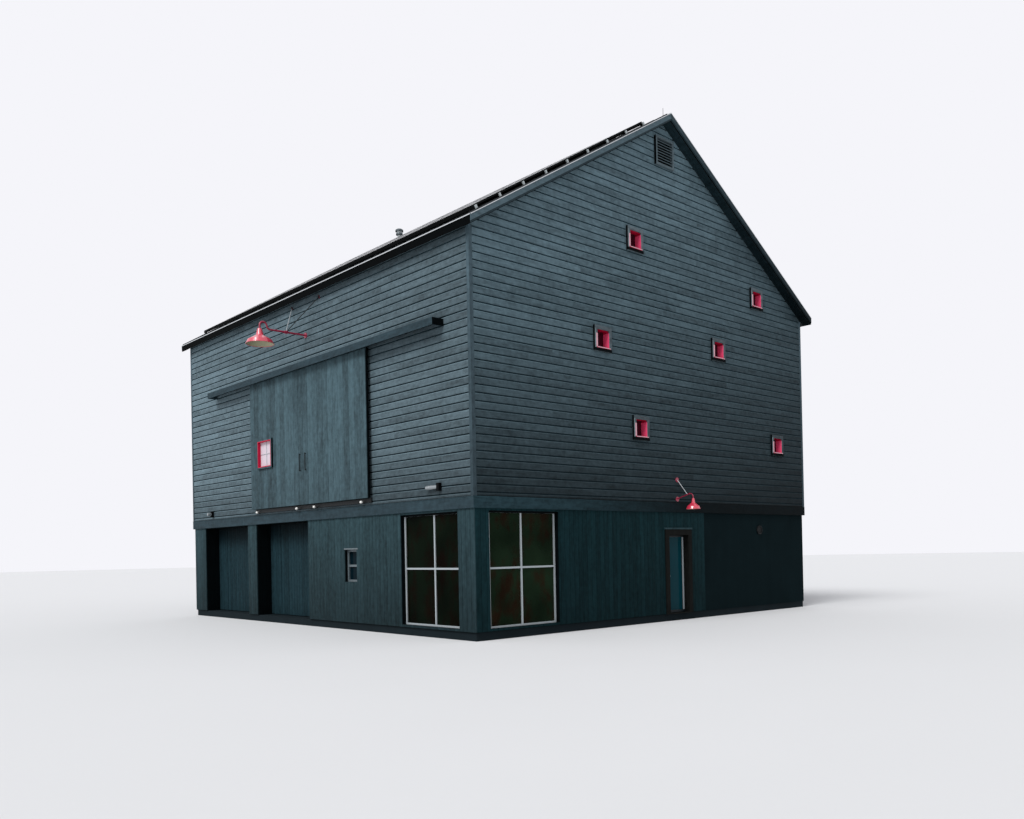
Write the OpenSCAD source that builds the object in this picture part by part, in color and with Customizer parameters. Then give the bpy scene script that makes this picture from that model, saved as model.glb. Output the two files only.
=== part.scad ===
// Timber barn with a gabled metal roof, two storeys, dark stained boarding and red lamps.
// X runs along the gable wall, Y along the eaves, Z up. The origin is the centre of the foot.

/* [Building] */
// Width across the gable, outside of the upper walls
building_w = 13400; // [12800:100:16000]
// Length along the eaves, outside of the upper walls
building_l = 14600; // [14300:100:18000]
// Thickness of the framed walls
wall_t = 150; // [120:10:220]
// Lower walls stand back this far from the upper walls
lower_setback = 30; // [10:5:60]
// Height of the concrete foundation
slab_h = 180; // [120:10:260]
// Foundation stands back this far from the upper walls
slab_setback = 50; // [35:5:90]
// Clear height of the lower storey
lower_h = 2680; // [2600:10:3000]
// Thickness of the upper floor
floor_t = 300; // [200:10:320]
// Thickness of the concrete basement wall
concrete_t = 250; // [200:10:400]
// Bare concrete starts this far along the gable from the front corner
concrete_from = 8200; // [7800:50:11000]

/* [Roof] */
// Height of the roof's eave edge
eave_z = 9020; // [8800:10:10500]
// Pitch of the roof in degrees
roof_pitch = 31.8; // [25:0.1:40]
// Thickness of the roof, square to the slope
roof_t = 170; // [140:10:260]
// Overhang at the eaves
eave_out = 195; // [120:5:400]
// Overhang at the gables
rake_out = 300; // [200:10:500]
// Thickness of the boards along the roof's edges
edge_t = 25; // [18:1:40]
// Width of each wing of the ridge cap
cap_w = 160; // [100:10:300]
// Thickness of the ridge cap
cap_t = 6; // [4:1:12]

/* [Trim] */
// Height of the belt board
belt_h = 260; // [180:10:290]
// Thickness of the belt board
belt_t = 30; // [20:2:50]
// Width of the corner boards
corner_board_w = 95; // [70:5:160]
// Thickness of the corner boards
corner_board_t = 26; // [20:1:40]

/* [Sliding doors] */
// Meeting line of the two leaves, from the near corner
leaf_mid = 6920; // [6600:10:7200]
// Width of each leaf
leaf_w = 3090; // [2700:10:3200]
// Underside of the leaves above the upper floor's underside
leaf_up = 430; // [400:5:460]
// Height of each leaf
leaf_h = 3660; // [3400:10:3700]
// Thickness of each leaf
leaf_t = 60; // [45:1:80]
// Gap between the wall and the leaves
leaf_gap = 100; // [70:5:130]
// Clear width of the doorway behind the leaves
doorway_w = 5640; // [5000:20:6000]
// The leaves overlap the doorway this much at its foot and head
doorway_lap = 90; // [40:5:160]
// Start of the track hood, from the near corner
hood_s = 900; // [600:10:1500]
// End of the track hood, from the far corner
hood_end = 2000; // [1200:10:2400]
// Top of the track hood above the leaves
hood_up = 125; // [110:5:200]
// How far the hood stands out from the wall
hood_out = 340; // [280:5:420]
// Height of the hood's face
hood_h = 165; // [140:5:220]
// Thickness of the hood's boards
hood_t = 25; // [18:1:35]
// Length of each pull handle
pull_l = 480; // [300:10:700]
// Distance between the two pull handles
pull_gap = 300; // [180:10:500]
// Middle of the pull handles above the leaves' underside
pull_up = 1140; // [900:10:1600]
// Middle of the leaf's window, from the meeting line
leaf_window_off = 2155; // [1800:5:2400]
// Middle of the leaf's window above the leaves' underside
leaf_window_up = 1560; // [1200:10:2200]
// Clear width of the leaf's window
leaf_window_w = 750; // [500:10:800]
// Clear height of the leaf's window
leaf_window_h = 710; // [500:10:900]

/* [Garage doors] */
// Width of the last pier, beyond the second opening
garage_end = 860; // [600:10:1200]
// Near edge of the first opening, from the near corner
garage_s = 7080; // [6900:10:7300]
// Width of the pier between the openings
garage_pier = 560; // [400:10:600]
// Depth of the recess in front of the garage doors
garage_recess = 450; // [300:10:700]
// Thickness of the garage doors
garage_door_t = 50; // [40:1:80]

/* [Corner windows] */
// Width of the corner post on the front
post_front = 580; // [450:10:700]
// Width of the corner post on the gable
post_gable = 420; // [350:10:700]
// Far edge of the front corner window, from the corner
corner_front_end = 2745; // [2400:5:3000]
// Far edge of the gable corner window, from the corner
corner_gable_end = 2550; // [2300:5:3000]
// Height of the strip of wall under the corner windows
corner_sill = 65; // [40:5:300]
// Height of the strip of wall over the corner windows
corner_head = 45; // [30:5:200]
// Width of the corner windows' bars
bar_w = 42; // [35:1:70]
// Depth of the corner windows' bars
bar_t = 25; // [15:1:40]
// Depth of the frame round the corner windows' bars
bar_d = 60; // [40:1:90]
// Width of the frame round the corner windows' bars
bar_frame = 45; // [20:1:80]
// Depth of the bars behind the wall's face
bar_recess = 70; // [30:5:80]
// Middle bar of the front corner window, from the corner
bar_front_s = 1545; // [1300:5:1800]
// Middle bar of the gable corner window, from the corner
bar_gable_s = 1440; // [1200:5:1800]
// Height of the corner windows' middle rail
bar_mid_z = 1555; // [1200:5:1900]
// Thickness of the glass
glass_t = 12; // [6:1:24]

/* [Small lower window] */
// Middle of the small window, from the near corner
small_s = 4955; // [4000:5:6000]
// Width of the small window
small_w = 570; // [400:10:700]
// Height of the small window
small_h = 820; // [600:10:1000]
// Foot of the small window
small_z = 1220; // [900:5:1500]
// Width of the small window's frame
small_bar = 55; // [30:1:70]
// Depth of the small window's frame behind the wall's face
small_recess = 70; // [0:5:90]

/* [Gable windows] */
// Middles of the gable windows, from the middle of the gable and up
gable_window_at = [[-1260, 9760], [-2560, 7050], [2260, 7430], [4230, 9190], [-1170, 4980], [5190, 4940]];
// Clear width of the gable windows
gable_window_w = 420; // [300:5:480]
// Clear height of the gable windows
gable_window_h = 430; // [300:5:560]
// Width of the casing round the gable windows
casing_w = 95; // [60:5:140]
// How far the casing stands out from the wall
casing_out = 80; // [40:1:100]
// Thickness of the red boards that line the gable windows
liner_t = 20; // [12:1:30]
// How far the red sill stands out from the wall
sill_out = 105; // [95:5:160]
// Depth of the glass behind the wall's face
glass_recess = 120; // [60:5:130]

/* [Louvre vents] */
// Outside width of the louvre vents
louvre_w = 740; // [600:10:900]
// Outside height of the louvre vents
louvre_h = 760; // [600:10:900]
// Distance of the louvre vents' middle below the ridge
louvre_down = 970; // [900:10:2000]
// Width of the louvre vents' frame
louvre_frame = 55; // [40:1:90]
// How far the louvre vents stand out
louvre_out = 90; // [60:5:140]
// Number of slats
louvre_n = 9; // [5:1:12]
// Thickness of a slat
slat_t = 12; // [8:1:20]
// Slope of a slat in degrees
slat_angle = 42; // [30:1:50]

/* [Entrance door] */
// Near edge of the doorway in the gable, from the near corner
door_s = 6590; // [6200:10:6900]
// Width of the doorway in the wall
door_gap_w = 880; // [800:10:900]
// Height of the doorway above the foundation
door_gap_h = 2110; // [2000:10:2200]
// Thickness of the door lining
lining_t = 30; // [20:1:45]
// Width of the door casing
door_casing_w = 150; // [90:5:170]
// How far the door casing stands out
door_casing_out = 55; // [40:1:90]
// Height of the threshold
sill_h = 20; // [10:1:40]
// Thickness of the door leaf
door_t = 45; // [38:1:60]
// Clearance round the door leaf
door_gap = 8; // [6:1:12]
// Width of the door leaf's stiles
stile_w = 85; // [60:5:130]
// Height of the door leaf's bottom rail
door_rail_h = 60; // [40:10:300]
// Height of the door leaf's top rail
door_head_h = 45; // [30:5:130]
// Height of the lever handle above the threshold
lever_h = 980; // [850:10:1100]

/* [Barn lamp] */
// Place of the big lamp, from the meeting line of the leaves
lamp_off = 30; // [-300:10:300]
// Distance of the big lamp's wall plate below the eave
lamp_down = 1150; // [1120:10:1400]
// Distance of the shade's middle from the wall
lamp_reach = 1360; // [1100:10:1500]
// Radius of the gooseneck's bends
lamp_bend = 100; // [80:5:140]
// Diameter of the lamp's pipe
lamp_pipe_d = 50; // [38:1:60]
// Diameter of the shade at its rim
shade_d = 725; // [600:5:900]
// Height of the shade
shade_h = 400; // [300:10:500]
// Diameter of the shade's neck
neck_d = 110; // [80:5:140]
// Thickness of the shades
shade_t = 6; // [4:1:10]
// Length of straight pipe between gooseneck and shade
lamp_drop = 90; // [20:5:100]
// Distance of the stays' collar from the wall
stay_reach = 610; // [400:10:800]
// Height of the stays' wall anchors above the arm
stay_up = 890; // [600:10:920]
// Sideways distance of the stays' wall anchors
stay_side = 730; // [400:10:900]
// Diameter of the stays
stay_d = 16; // [10:1:24]

/* [Door lamp] */
// Place of the door lamp, from the middle of the doorway
door_lamp_off = -30; // [-200:10:200]
// Distance of the door lamp's shade from the wall
door_lamp_reach = 530; // [400:10:700]
// Height of the door lamp's rim above the upper floor's underside
door_lamp_up = 70; // [-100:10:200]
// Diameter of the door lamp's shade
door_shade_d = 370; // [300:10:450]
// Height of the door lamp's shade
door_shade_h = 280; // [180:10:300]
// Length of straight pipe above the door lamp's shade
door_lamp_drop = 35; // [20:5:200]
// Diameter of the door lamp's pipe
door_pipe_d = 26; // [20:1:34]
// Radius of the door lamp's bend
door_bend = 90; // [60:5:120]
// Rise of the door lamp's arm in degrees
door_arm_rise = 16; // [10:1:35]
// Height of the rod's plate above the arm's plate
door_rod_up = 510; // [400:10:700]

/* [Solar array] */
// Thickness of a module
module_t = 42; // [30:1:50]
// Gap between modules
module_gap = 20; // [10:1:30]
// Rows of modules up the slope
module_rows = 8; // [2:1:8]
// Columns of modules along the ridge
module_cols = 8; // [4:1:10]
// Start of the array, up the slope from the eave edge
array_u = 320; // [200:10:700]
// End of the array, down the slope from the ridge
array_top = 1120; // [400:10:2000]
// Start of the array, in from the near edge of the roof
array_in = 150; // [80:10:400]
// End of the array, in from the far edge of the roof
array_far = 1310; // [200:10:3000]
// Height of the rails' feet
foot_h = 50; // [30:1:100]
// Height of the rails
rail_h = 38; // [30:1:60]
// Number of feet on each rail
foot_n = 12; // [6:1:16]

/* [Small parts] */
// Distance of the roof's vent pipe from the far gable
pipe_far = 3100; // [1600:50:6000]
// Height of the vent pipe above the roof
pipe_up = 420; // [320:10:700]
// Diameter of the vent pipe
pipe_d = 130; // [80:5:160]
// Place of the round wall vent, from the middle of the gable
wall_vent_x = 4230; // [3000:10:5000]
// Distance of the round wall vent below the upper floor
wall_vent_down = 460; // [200:10:1200]
// Diameter of the round wall vent
wall_vent_d = 250; // [150:10:350]
// Place of the near flood light, from the near corner
flood_near = 1090; // [600:10:2000]
// Height of the near flood light above the upper floor's underside
flood_near_up = 520; // [400:10:700]
// Length of the near flood light's head
flood_near_l = 450; // [200:10:500]
// Place of the far flood light, from the far corner
flood_far = 1600; // [700:10:2000]
// Height of the far flood light above the upper floor's underside
flood_far_up = 430; // [400:10:700]
// Length of the far flood light's head
flood_far_l = 150; // [120:10:400]
// Angle by which the far flood light's head is turned away from the wall
flood_turn = 90; // [0:5:90]

/* [Hidden] */
$fn = 48;

half_w = building_w / 2;
half_l = building_l / 2;
low_w = half_w - lower_setback;
low_l = half_l - lower_setback;
floor_z = slab_h + lower_h;
upper_z = floor_z + floor_t;
slope = tan(roof_pitch);
edge_x = half_w + eave_out;
edge_y = half_l + rake_out;
roof_v = roof_t / cos(roof_pitch);
ridge_z = eave_z + edge_x * slope;
belt_top = floor_z + belt_h;
eps = 1;

leaf_z = floor_z + leaf_up;
hood_z = leaf_z + leaf_h + hood_up;
hood_l = building_l - hood_s - hood_end;
pull_z = leaf_z + pull_up;
leaf_window_z = leaf_z + leaf_window_up;
lamp_z = eave_z - lamp_down;
door_lamp_z = floor_z + door_lamp_up;
wall_vent_z = floor_z - wall_vent_down;
leaf_out = leaf_gap + leaf_t;
doorway_z = leaf_z + doorway_lap;
doorway_top = leaf_z + leaf_h - doorway_lap;
leaf_window_s = leaf_mid + leaf_window_off;
track_w = 60;
track_h = 60;
track_wall = 5;
track_slot = 18;
track_out = leaf_gap + leaf_t / 2;
track_z = hood_z - hood_t - track_h;
track_end = 60;
bracket_n = 10;
bracket_w = 45;
hanger_w = 120;
hanger_t = 10;
wheel_d = 40;
wheel_l = 16;
hanger_in = 350;
guide_d = 60;
guide_h = 50;
guide_drop = 65;
guide_pin_d = 14;
guide_arm_t = 8;
guide_arm_w = 40;
guide_at = [leaf_mid - leaf_w + 360, leaf_mid - 440, leaf_mid + 500, leaf_mid + leaf_w - 230];
pull_d = 24;
pull_out = 60;
leaf_casing = 65;
leaf_casing_out = 70;
casing_t = 25;
shade_lip = [0.86, 0.26];
shade_foot = [0.28, 0.57];

louvre_z = ridge_z - louvre_down;
louvre_gap_w = louvre_w - 2 * louvre_frame;
louvre_gap_h = louvre_h - 2 * louvre_frame;
slat_in = 12;

lining_w = door_gap_w - 2 * lining_t;
door_lamp_w = door_s + door_gap_w / 2 + door_lamp_off;
leaf_x = door_s + lining_t + door_gap;
entrance_w = lining_w - 2 * door_gap;
entrance_z = slab_h + sill_h + door_gap;
entrance_h = door_gap_h - lining_t - sill_h - 2 * door_gap;
entrance_back = wall_t;
entrance_front = wall_t - door_t;
stop_w = 12;
stop_d = 30;
stop_gap = 5;
hinge_at = [0.1, 0.5, 0.9];
knuckle_d = 18;
knuckle_l = 90;
knuckle_gap = 0.5;
knuckle_end = 30;
pin_back = knuckle_d / 2 + 5;
flap_w = 34;
flap_t = 10;
flap_gap = 5;

pier_depth = garage_recess + garage_door_t + 60;
garage_gap = 5;
garage_w = (building_l - garage_s - garage_pier - garage_end) / 2;
garage_far = garage_s + 2 * garage_w + garage_pier;
return_t = 150;

pipe_x = 350;
pipe_cap_d = 285;
pipe_cap_h = 60;
pipe_cap_gap = 45;
pipe_boot = 150;
rail_w = 42;
foot_seat = 0.1;
foot_w = 50;
rail_end = 60;
slope_l = edge_x / cos(roof_pitch);
array_h = slope_l - array_u - array_top;
array_l = 2 * edge_y - array_in - array_far;
row_pitch = (array_h + module_gap) / module_rows;
col_pitch = (array_l + module_gap) / module_cols;

// Height of the roof's top face at a distance from the middle line
function roof_top(x) = eave_z + (edge_x - abs(x)) * slope;
// Height of the roof's underside at a distance from the middle line
function roof_under(x) = roof_top(x) - roof_v;

// Box on the front wall: along from the near corner, up, and out from the upper wall's face
module front_box(s0, s1, z0, z1, out0, out1)
    translate([-half_w - out1, -half_l + s0, z0])
        cube([out1 - out0, s1 - s0, z1 - z0]);

// Box on the near gable: along from the near corner, up, and out from the upper wall's face
module gable_box(w0, w1, z0, z1, out0, out1)
    translate([-half_w + w0, -half_l - out1, z0])
        cube([w1 - w0, out1 - out0, z1 - z0]);

// Outline in the gable's plane, pushed along Y
module across(y0, y1)
    translate([0, y1, 0])
        rotate([90, 0, 0])
            linear_extrude(y1 - y0)
                children();

// Round bar between two points
module bar(a, b, d) {
    v = b - a;
    l = norm(v);
    translate(a)
        rotate([0, acos(v[2] / l), atan2(v[1], v[0])])
            cylinder(d = d, h = l);
}

// Frame of four bars round a clear opening, lying in the gable's plane
module ring_frame(w, h, bar, d)
    rotate([90, 0, 0])
        linear_extrude(d)
            difference() {
                square([w + 2 * bar, h + 2 * bar], center = true);
                square([w, h], center = true);
            }

// Stands what is drawn in the gable's plane on the front wall
module on_front(s, z, out)
    translate([-half_w - out, -half_l + s, z])
        rotate([0, 0, -90])
            children();

// Stands what is drawn in the gable's plane on the near gable
module on_gable(w, z, out)
    translate([-half_w + w, -half_l - out, z])
        children();

// Mirrors to the far gable as well
module both_gables() {
    children();
    mirror([0, 1, 0])
        children();
}

// Lays what is drawn flat on the front slope, from the near corner of its eave edge
module on_front_slope()
    translate([-edge_x, -edge_y, eave_z])
        rotate([0, -roof_pitch, 0])
            children();

module foundation_slab()
    color("#3d4145")
        translate([-half_w + slab_setback, -half_l + slab_setback, 0])
            cube([building_w - 2 * slab_setback, building_l - 2 * slab_setback, slab_h]);

module foundation_wall()
    color("#2b2f33")
        difference() {
            translate([-low_w, -low_l, slab_h])
                cube([2 * low_w, 2 * low_l, lower_h]);
            translate([-low_w - eps, -low_l + concrete_t, slab_h - eps])
                cube([2 * low_w - concrete_t + eps, 2 * low_l - 2 * concrete_t, lower_h + 2 * eps]);
            translate([-low_w - eps, -low_l - eps, slab_h - eps])
                cube([concrete_from - lower_setback + eps, concrete_t + 2 * eps, lower_h + 2 * eps]);
        }

module front_lower_wall()
    color("#2a3035")
        difference() {
            front_box(post_front, garage_s, slab_h, floor_z, -lower_setback - wall_t, -lower_setback);
            front_box(post_front - eps, corner_front_end, slab_h + corner_sill, floor_z - corner_head,
                -lower_setback - wall_t - eps, -lower_setback + eps);
            front_box(small_s - small_w / 2, small_s + small_w / 2, small_z, small_z + small_h,
                -lower_setback - wall_t - eps, -lower_setback + eps);
        }

module corner_post()
    color("#2a3035")
        translate([-low_w, -low_l, slab_h])
            linear_extrude(lower_h)
                polygon([[0, 0], [post_gable - lower_setback, 0], [post_gable - lower_setback, wall_t],
                    [wall_t, wall_t], [wall_t, post_front - lower_setback], [0, post_front - lower_setback]]);

module garage_piers()
    color("#2a3035") {
        front_box(garage_s - return_t, garage_s, slab_h, floor_z,
            -lower_setback - pier_depth, -lower_setback - wall_t);
        front_box(garage_s + garage_w, garage_s + garage_w + garage_pier, slab_h, floor_z,
            -lower_setback - pier_depth, -lower_setback);
        front_box(garage_far, building_l - lower_setback - concrete_t, slab_h, floor_z,
            -lower_setback - pier_depth, -lower_setback);
    }

module gable_lower_wall_left()
    color("#2a3035")
        gable_box(corner_gable_end, door_s, slab_h, floor_z, -lower_setback - wall_t, -lower_setback);

module gable_lower_wall_right()
    color("#2a3035")
        gable_box(door_s + door_gap_w, concrete_from, slab_h, floor_z,
            -lower_setback - wall_t, -lower_setback);

// Wall over the entrance door, and the strips over and under the corner window
module gable_lower_wall_strips()
    color("#2a3035") {
        gable_box(door_s, door_s + door_gap_w, slab_h + door_gap_h, floor_z,
            -lower_setback - wall_t, -lower_setback);
        gable_box(post_gable, corner_gable_end, floor_z - corner_head, floor_z,
            -lower_setback - wall_t, -lower_setback);
        gable_box(post_gable, corner_gable_end, slab_h, slab_h + corner_sill,
            -lower_setback - wall_t, -lower_setback);
    }

module upper_floor()
    color("#6b5d4c")
        translate([-half_w, -half_l, floor_z])
            cube([building_w, building_l, floor_t]);

// Outline of an eave wall, cut to the roof's slope
module eave_wall_outline()
    polygon([[-half_w, upper_z], [-half_w + wall_t, upper_z],
        [-half_w + wall_t, roof_under(half_w - wall_t)], [-half_w, roof_under(half_w)]]);

module front_wall()
    color("#30373c")
        difference() {
            across(-half_l, half_l)
                eave_wall_outline();
            front_box(leaf_mid - doorway_w / 2, leaf_mid + doorway_w / 2, doorway_z, doorway_top,
                -wall_t - eps, eps);
        }

module back_wall()
    color("#30373c")
        mirror([1, 0, 0])
            across(-half_l, half_l)
                eave_wall_outline();

// Outline of a gable wall between the eave walls
module gable_outline() {
    x = half_w - wall_t;
    polygon([[-x, upper_z], [x, upper_z], [x, roof_under(x)], [0, roof_under(0)], [-x, roof_under(x)]]);
}

module louvre_gap()
    translate([-louvre_gap_w / 2, louvre_z - louvre_gap_h / 2])
        square([louvre_gap_w, louvre_gap_h]);

module gable_wall()
    color("#30373c")
        across(-half_l, -half_l + wall_t)
            difference() {
                gable_outline();
                for (at = gable_window_at)
                    translate([at[0], at[1]])
                        square([gable_window_w + 2 * liner_t, gable_window_h + 2 * liner_t], center = true);
                louvre_gap();
            }

module far_gable_wall()
    color("#30373c")
        across(half_l - wall_t, half_l)
            difference() {
                gable_outline();
                louvre_gap();
            }

// Outline of the front slope inside its edge boards
module slope_outline() {
    x = edge_x - edge_t;
    polygon([[-x, roof_top(x)], [0, ridge_z], [0, ridge_z - roof_v], [-x, roof_under(x)]]);
}

module front_roof()
    color("#24282b")
        across(-edge_y + edge_t, edge_y - edge_t)
            slope_outline();

module back_roof()
    color("#24282b")
        mirror([1, 0, 0])
            across(-edge_y + edge_t, edge_y - edge_t)
                slope_outline();

module ridge_cap() {
    x = cap_w * cos(roof_pitch);
    up = cap_t / cos(roof_pitch);
    color("#1f2326")
        across(-edge_y, edge_y)
            polygon([[-x, roof_top(x)], [0, ridge_z], [x, roof_top(x)], [x, roof_top(x) + up],
                [0, ridge_z + up], [-x, roof_top(x) + up]]);
}

// Outline of the whole roof with its overhangs
module roof_outline()
    polygon([[-edge_x, eave_z], [0, ridge_z], [edge_x, eave_z], [edge_x, eave_z - roof_v],
        [0, ridge_z - roof_v], [-edge_x, eave_z - roof_v]]);

module roof_edge_boards()
    color("#2e3438")
        difference() {
            across(-edge_y, edge_y)
                roof_outline();
            translate([-edge_x + edge_t, -edge_y + edge_t, 0])
                cube([2 * (edge_x - edge_t), 2 * (edge_y - edge_t), 2 * ridge_z]);
        }

module corner_boards()
    color("#30373c")
        for (i = [0, 1], j = [0, 1])
            mirror([i, 0, 0])
                mirror([0, j, 0])
                    translate([-half_w - corner_board_t, -half_l - corner_board_t, belt_top])
                        linear_extrude(roof_under(half_w + corner_board_t) - belt_top)
                            difference() {
                                square(corner_board_w);
                                translate([corner_board_t, corner_board_t])
                                    square(corner_board_w);
                            }

module belt_board()
    color("#333a3f")
        difference() {
            translate([-half_w - belt_t, -half_l - belt_t, floor_z])
                cube([building_w + 2 * belt_t, building_l + 2 * belt_t, belt_h]);
            translate([-half_w, -half_l, floor_z - eps])
                cube([building_w, building_l, belt_h + 2 * eps]);
        }

module sliding_door_left()
    color("#2c3237") {
        difference() {
            front_box(leaf_mid, leaf_mid + leaf_w, leaf_z, leaf_z + leaf_h, leaf_gap, leaf_out);
            front_box(leaf_window_s - leaf_window_w / 2 - liner_t,
                leaf_window_s + leaf_window_w / 2 + liner_t,
                leaf_window_z - leaf_window_h / 2 - liner_t,
                leaf_window_z + leaf_window_h / 2 + liner_t, leaf_gap - eps, leaf_out + eps);
        }
        on_front(leaf_window_s, leaf_window_z, leaf_out)
            ring_frame(leaf_window_w + 2 * liner_t, leaf_window_h + 2 * liner_t,
                leaf_casing - liner_t, leaf_casing_out);
    }

module sliding_door_right()
    color("#2c3237")
        front_box(leaf_mid - leaf_w, leaf_mid, leaf_z, leaf_z + leaf_h, leaf_gap, leaf_out);

// One pull handle, bar and two stand-offs
module pull_handle(s) {
    x = -half_w - leaf_out - pull_out;
    y = -half_l + s;
    color("#15181a") {
        translate([x, y, pull_z - pull_l / 2])
            cylinder(d = pull_d, h = pull_l);
        for (k = [-1, 1])
            translate([x, y, pull_z + k * (pull_l / 2 - pull_d)])
                rotate([0, 90, 0])
                    cylinder(d = pull_d * 0.8, h = pull_out);
    }
}

module sliding_door_handles()
    for (k = [-1, 1])
        pull_handle(leaf_mid + k * pull_gap / 2);

module track_hood()
    color("#2e3439") {
        front_box(hood_s, hood_s + hood_l, hood_z - hood_t, hood_z, 0, hood_out);
        front_box(hood_s, hood_s + hood_l, hood_z - hood_h, hood_z, hood_out - hood_t, hood_out);
        for (s = [hood_s, hood_s + hood_l - hood_t])
            front_box(s, s + hood_t, hood_z - hood_h, hood_z, 0, hood_out);
    }

// Track box with a slot below, on brackets
module track_box() {
    s0 = hood_s + track_end;
    s1 = hood_s + hood_l - track_end;
    step = (s1 - s0 - 2 * track_end) / (bracket_n - 1);
    color("#1d2023") {
        difference() {
            front_box(s0, s1, track_z, track_z + track_h, track_out - track_w / 2, track_out + track_w / 2);
            front_box(s0 - eps, s1 + eps, track_z + track_wall, track_z + track_h - track_wall,
                track_out - track_w / 2 + track_wall, track_out + track_w / 2 - track_wall);
            front_box(s0 - eps, s1 + eps, track_z - eps, track_z + track_wall + eps,
                track_out - track_slot / 2, track_out + track_slot / 2);
        }
        for (i = [0 : bracket_n - 1])
            front_box(s0 + track_end + i * step - bracket_w / 2, s0 + track_end + i * step + bracket_w / 2,
                track_z + track_h / 4, track_z + track_h, 0, track_out - track_w / 2 + track_wall / 2);
    }
}

// One hanger, plate on the leaf's top and two wheels in the track
module hanger(s) {
    wheel_z = track_z + track_wall + wheel_d / 2 + 0.3;
    color("#1d2023") {
        front_box(s - hanger_w / 2, s + hanger_w / 2, leaf_z + leaf_h, wheel_z + wheel_d / 4,
            track_out - hanger_t / 2, track_out + hanger_t / 2);
        for (k = [-1, 1])
            translate([-half_w - track_out, -half_l + s + k * hanger_w / 4, wheel_z])
                rotate([0, 90, 0])
                    cylinder(d = wheel_d, h = 2 * wheel_l + hanger_t, center = true);
    }
}

module door_track() {
    track_box();
    for (k = [-1, 1], i = [hanger_in, leaf_w - hanger_in])
        hanger(leaf_mid + k * i);
}

// One guide under the leaves, arm on the wall, roller and pin
module guide(s) {
    x = -half_w - track_out;
    y = -half_l + s;
    z = leaf_z - guide_drop;
    color("#e8e8e4") {
        front_box(s - guide_arm_w / 2, s + guide_arm_w / 2, z - guide_h - guide_arm_t, z - guide_h,
            0, track_out);
        translate([x, y, z - guide_h - guide_arm_t])
            cylinder(d = guide_d, h = guide_h + guide_arm_t);
        translate([x, y, z - guide_h])
            cylinder(d = guide_pin_d, h = guide_h + guide_drop);
    }
}

module door_guides()
    for (s = guide_at)
        guide(s);

// One gable window's casing, a box ring round the liner with a face board that laps over its edge
module gable_window_casing()
    difference() {
        union() {
            ring_frame(gable_window_w + 2 * liner_t, gable_window_h + 2 * liner_t,
                casing_w - liner_t, casing_out);
            translate([0, casing_t - casing_out, 0])
                ring_frame(gable_window_w, gable_window_h, casing_w, casing_t);
        }
        translate([-gable_window_w / 2 - liner_t, -casing_out - eps, -gable_window_h / 2 - liner_t])
            cube([gable_window_w + 2 * liner_t, casing_out + 2 * eps, liner_t]);
    }

module gable_window_casings()
    color("#343b40")
        for (at = gable_window_at)
            on_gable(half_w + at[0], at[1], 0)
                gable_window_casing();

module gable_window_liners()
    color("#b3152e")
        for (at = gable_window_at) {
            on_gable(half_w + at[0], at[1], -wall_t)
                ring_frame(gable_window_w, gable_window_h, liner_t, wall_t + casing_out - casing_t);
            on_gable(half_w + at[0], at[1] - gable_window_h / 2 - liner_t, sill_out)
                translate([-gable_window_w / 2 - liner_t, 0, 0])
                    cube([gable_window_w + 2 * liner_t, sill_out - casing_out + casing_t, liner_t]);
        }

module gable_window_glass()
    color("#12181b")
        for (at = gable_window_at)
            on_gable(half_w + at[0], at[1], -glass_recess - glass_t)
                translate([-gable_window_w / 2, -glass_t, -gable_window_h / 2])
                    cube([gable_window_w, glass_t, gable_window_h]);

// One louvre vent, frame and sloping slats
module louvre_vent() {
    pitch = louvre_gap_h / louvre_n;
    reach = (louvre_out - 2 * slat_t) / cos(slat_angle);
    on_gable(half_w, louvre_z, 0)
        ring_frame(louvre_gap_w, louvre_gap_h, louvre_frame, louvre_out);
    for (i = [0 : louvre_n - 1])
        on_gable(half_w + louvre_gap_w / 2 + slat_in, louvre_z - louvre_gap_h / 2 + i * pitch - slat_in / 2, 0)
            rotate([90, 0, -90])
                linear_extrude(louvre_gap_w + 2 * slat_in)
                    translate([louvre_out - slat_t, 0])
                        rotate(180 - slat_angle)
                            translate([0, -slat_t])
                                square([reach, slat_t]);
}

module louvre_vents()
    color("#2b3135")
        both_gables()
            louvre_vent();

// Corner window frame in the gable's plane: frame at the sides and head, bars flush with its front
module window_grid(w, h, mid_x, mid_z) {
    edge = bar_w + bar_frame;
    difference() {
        cube([w, bar_d, h]);
        translate([bar_frame, -eps, -eps])
            cube([w - 2 * bar_frame, bar_d + 2 * eps, h - bar_frame + eps]);
    }
    for (x = [0, w - edge])
        translate([x, 0, 0])
            cube([edge, bar_t, h]);
    translate([mid_x - bar_w / 2, 0, 0])
        cube([bar_w, bar_t, h]);
    for (z = [0, mid_z - bar_w / 2])
        translate([0, 0, z])
            cube([w, bar_t, bar_w]);
}

module corner_window_frames() {
    h = lower_h - corner_sill - corner_head;
    z = slab_h + corner_sill;
    color("#aeb4b6") {
        translate([-half_w + post_gable, -low_l + bar_recess, z])
            window_grid(corner_gable_end - post_gable, h, bar_gable_s - post_gable, bar_mid_z - z);
        translate([-low_w + bar_recess, -half_l + post_front, z])
            rotate([0, 0, 90]) mirror([0, 1, 0])
                window_grid(corner_front_end - post_front, h, bar_front_s - post_front, bar_mid_z - z);
    }
}

module small_window_frames() {
    color("#8f979b")
        difference() {
            front_box(small_s - small_w / 2, small_s + small_w / 2, small_z, small_z + small_h,
                -lower_setback - wall_t, -lower_setback - small_recess);
            for (k = [0, 1])
                front_box(small_s - small_w / 2 + small_bar, small_s + small_w / 2 - small_bar,
                    small_z + small_bar + k * (small_h - small_bar) / 2,
                    small_z + (k + 1) * (small_h - small_bar) / 2,
                    -lower_setback - wall_t - eps, -lower_setback - small_recess + eps);
        }
    color("#b3152e")
        on_front(leaf_window_s, leaf_window_z, leaf_gap)
            ring_frame(leaf_window_w, leaf_window_h, liner_t, leaf_t + leaf_casing_out);
}

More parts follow.
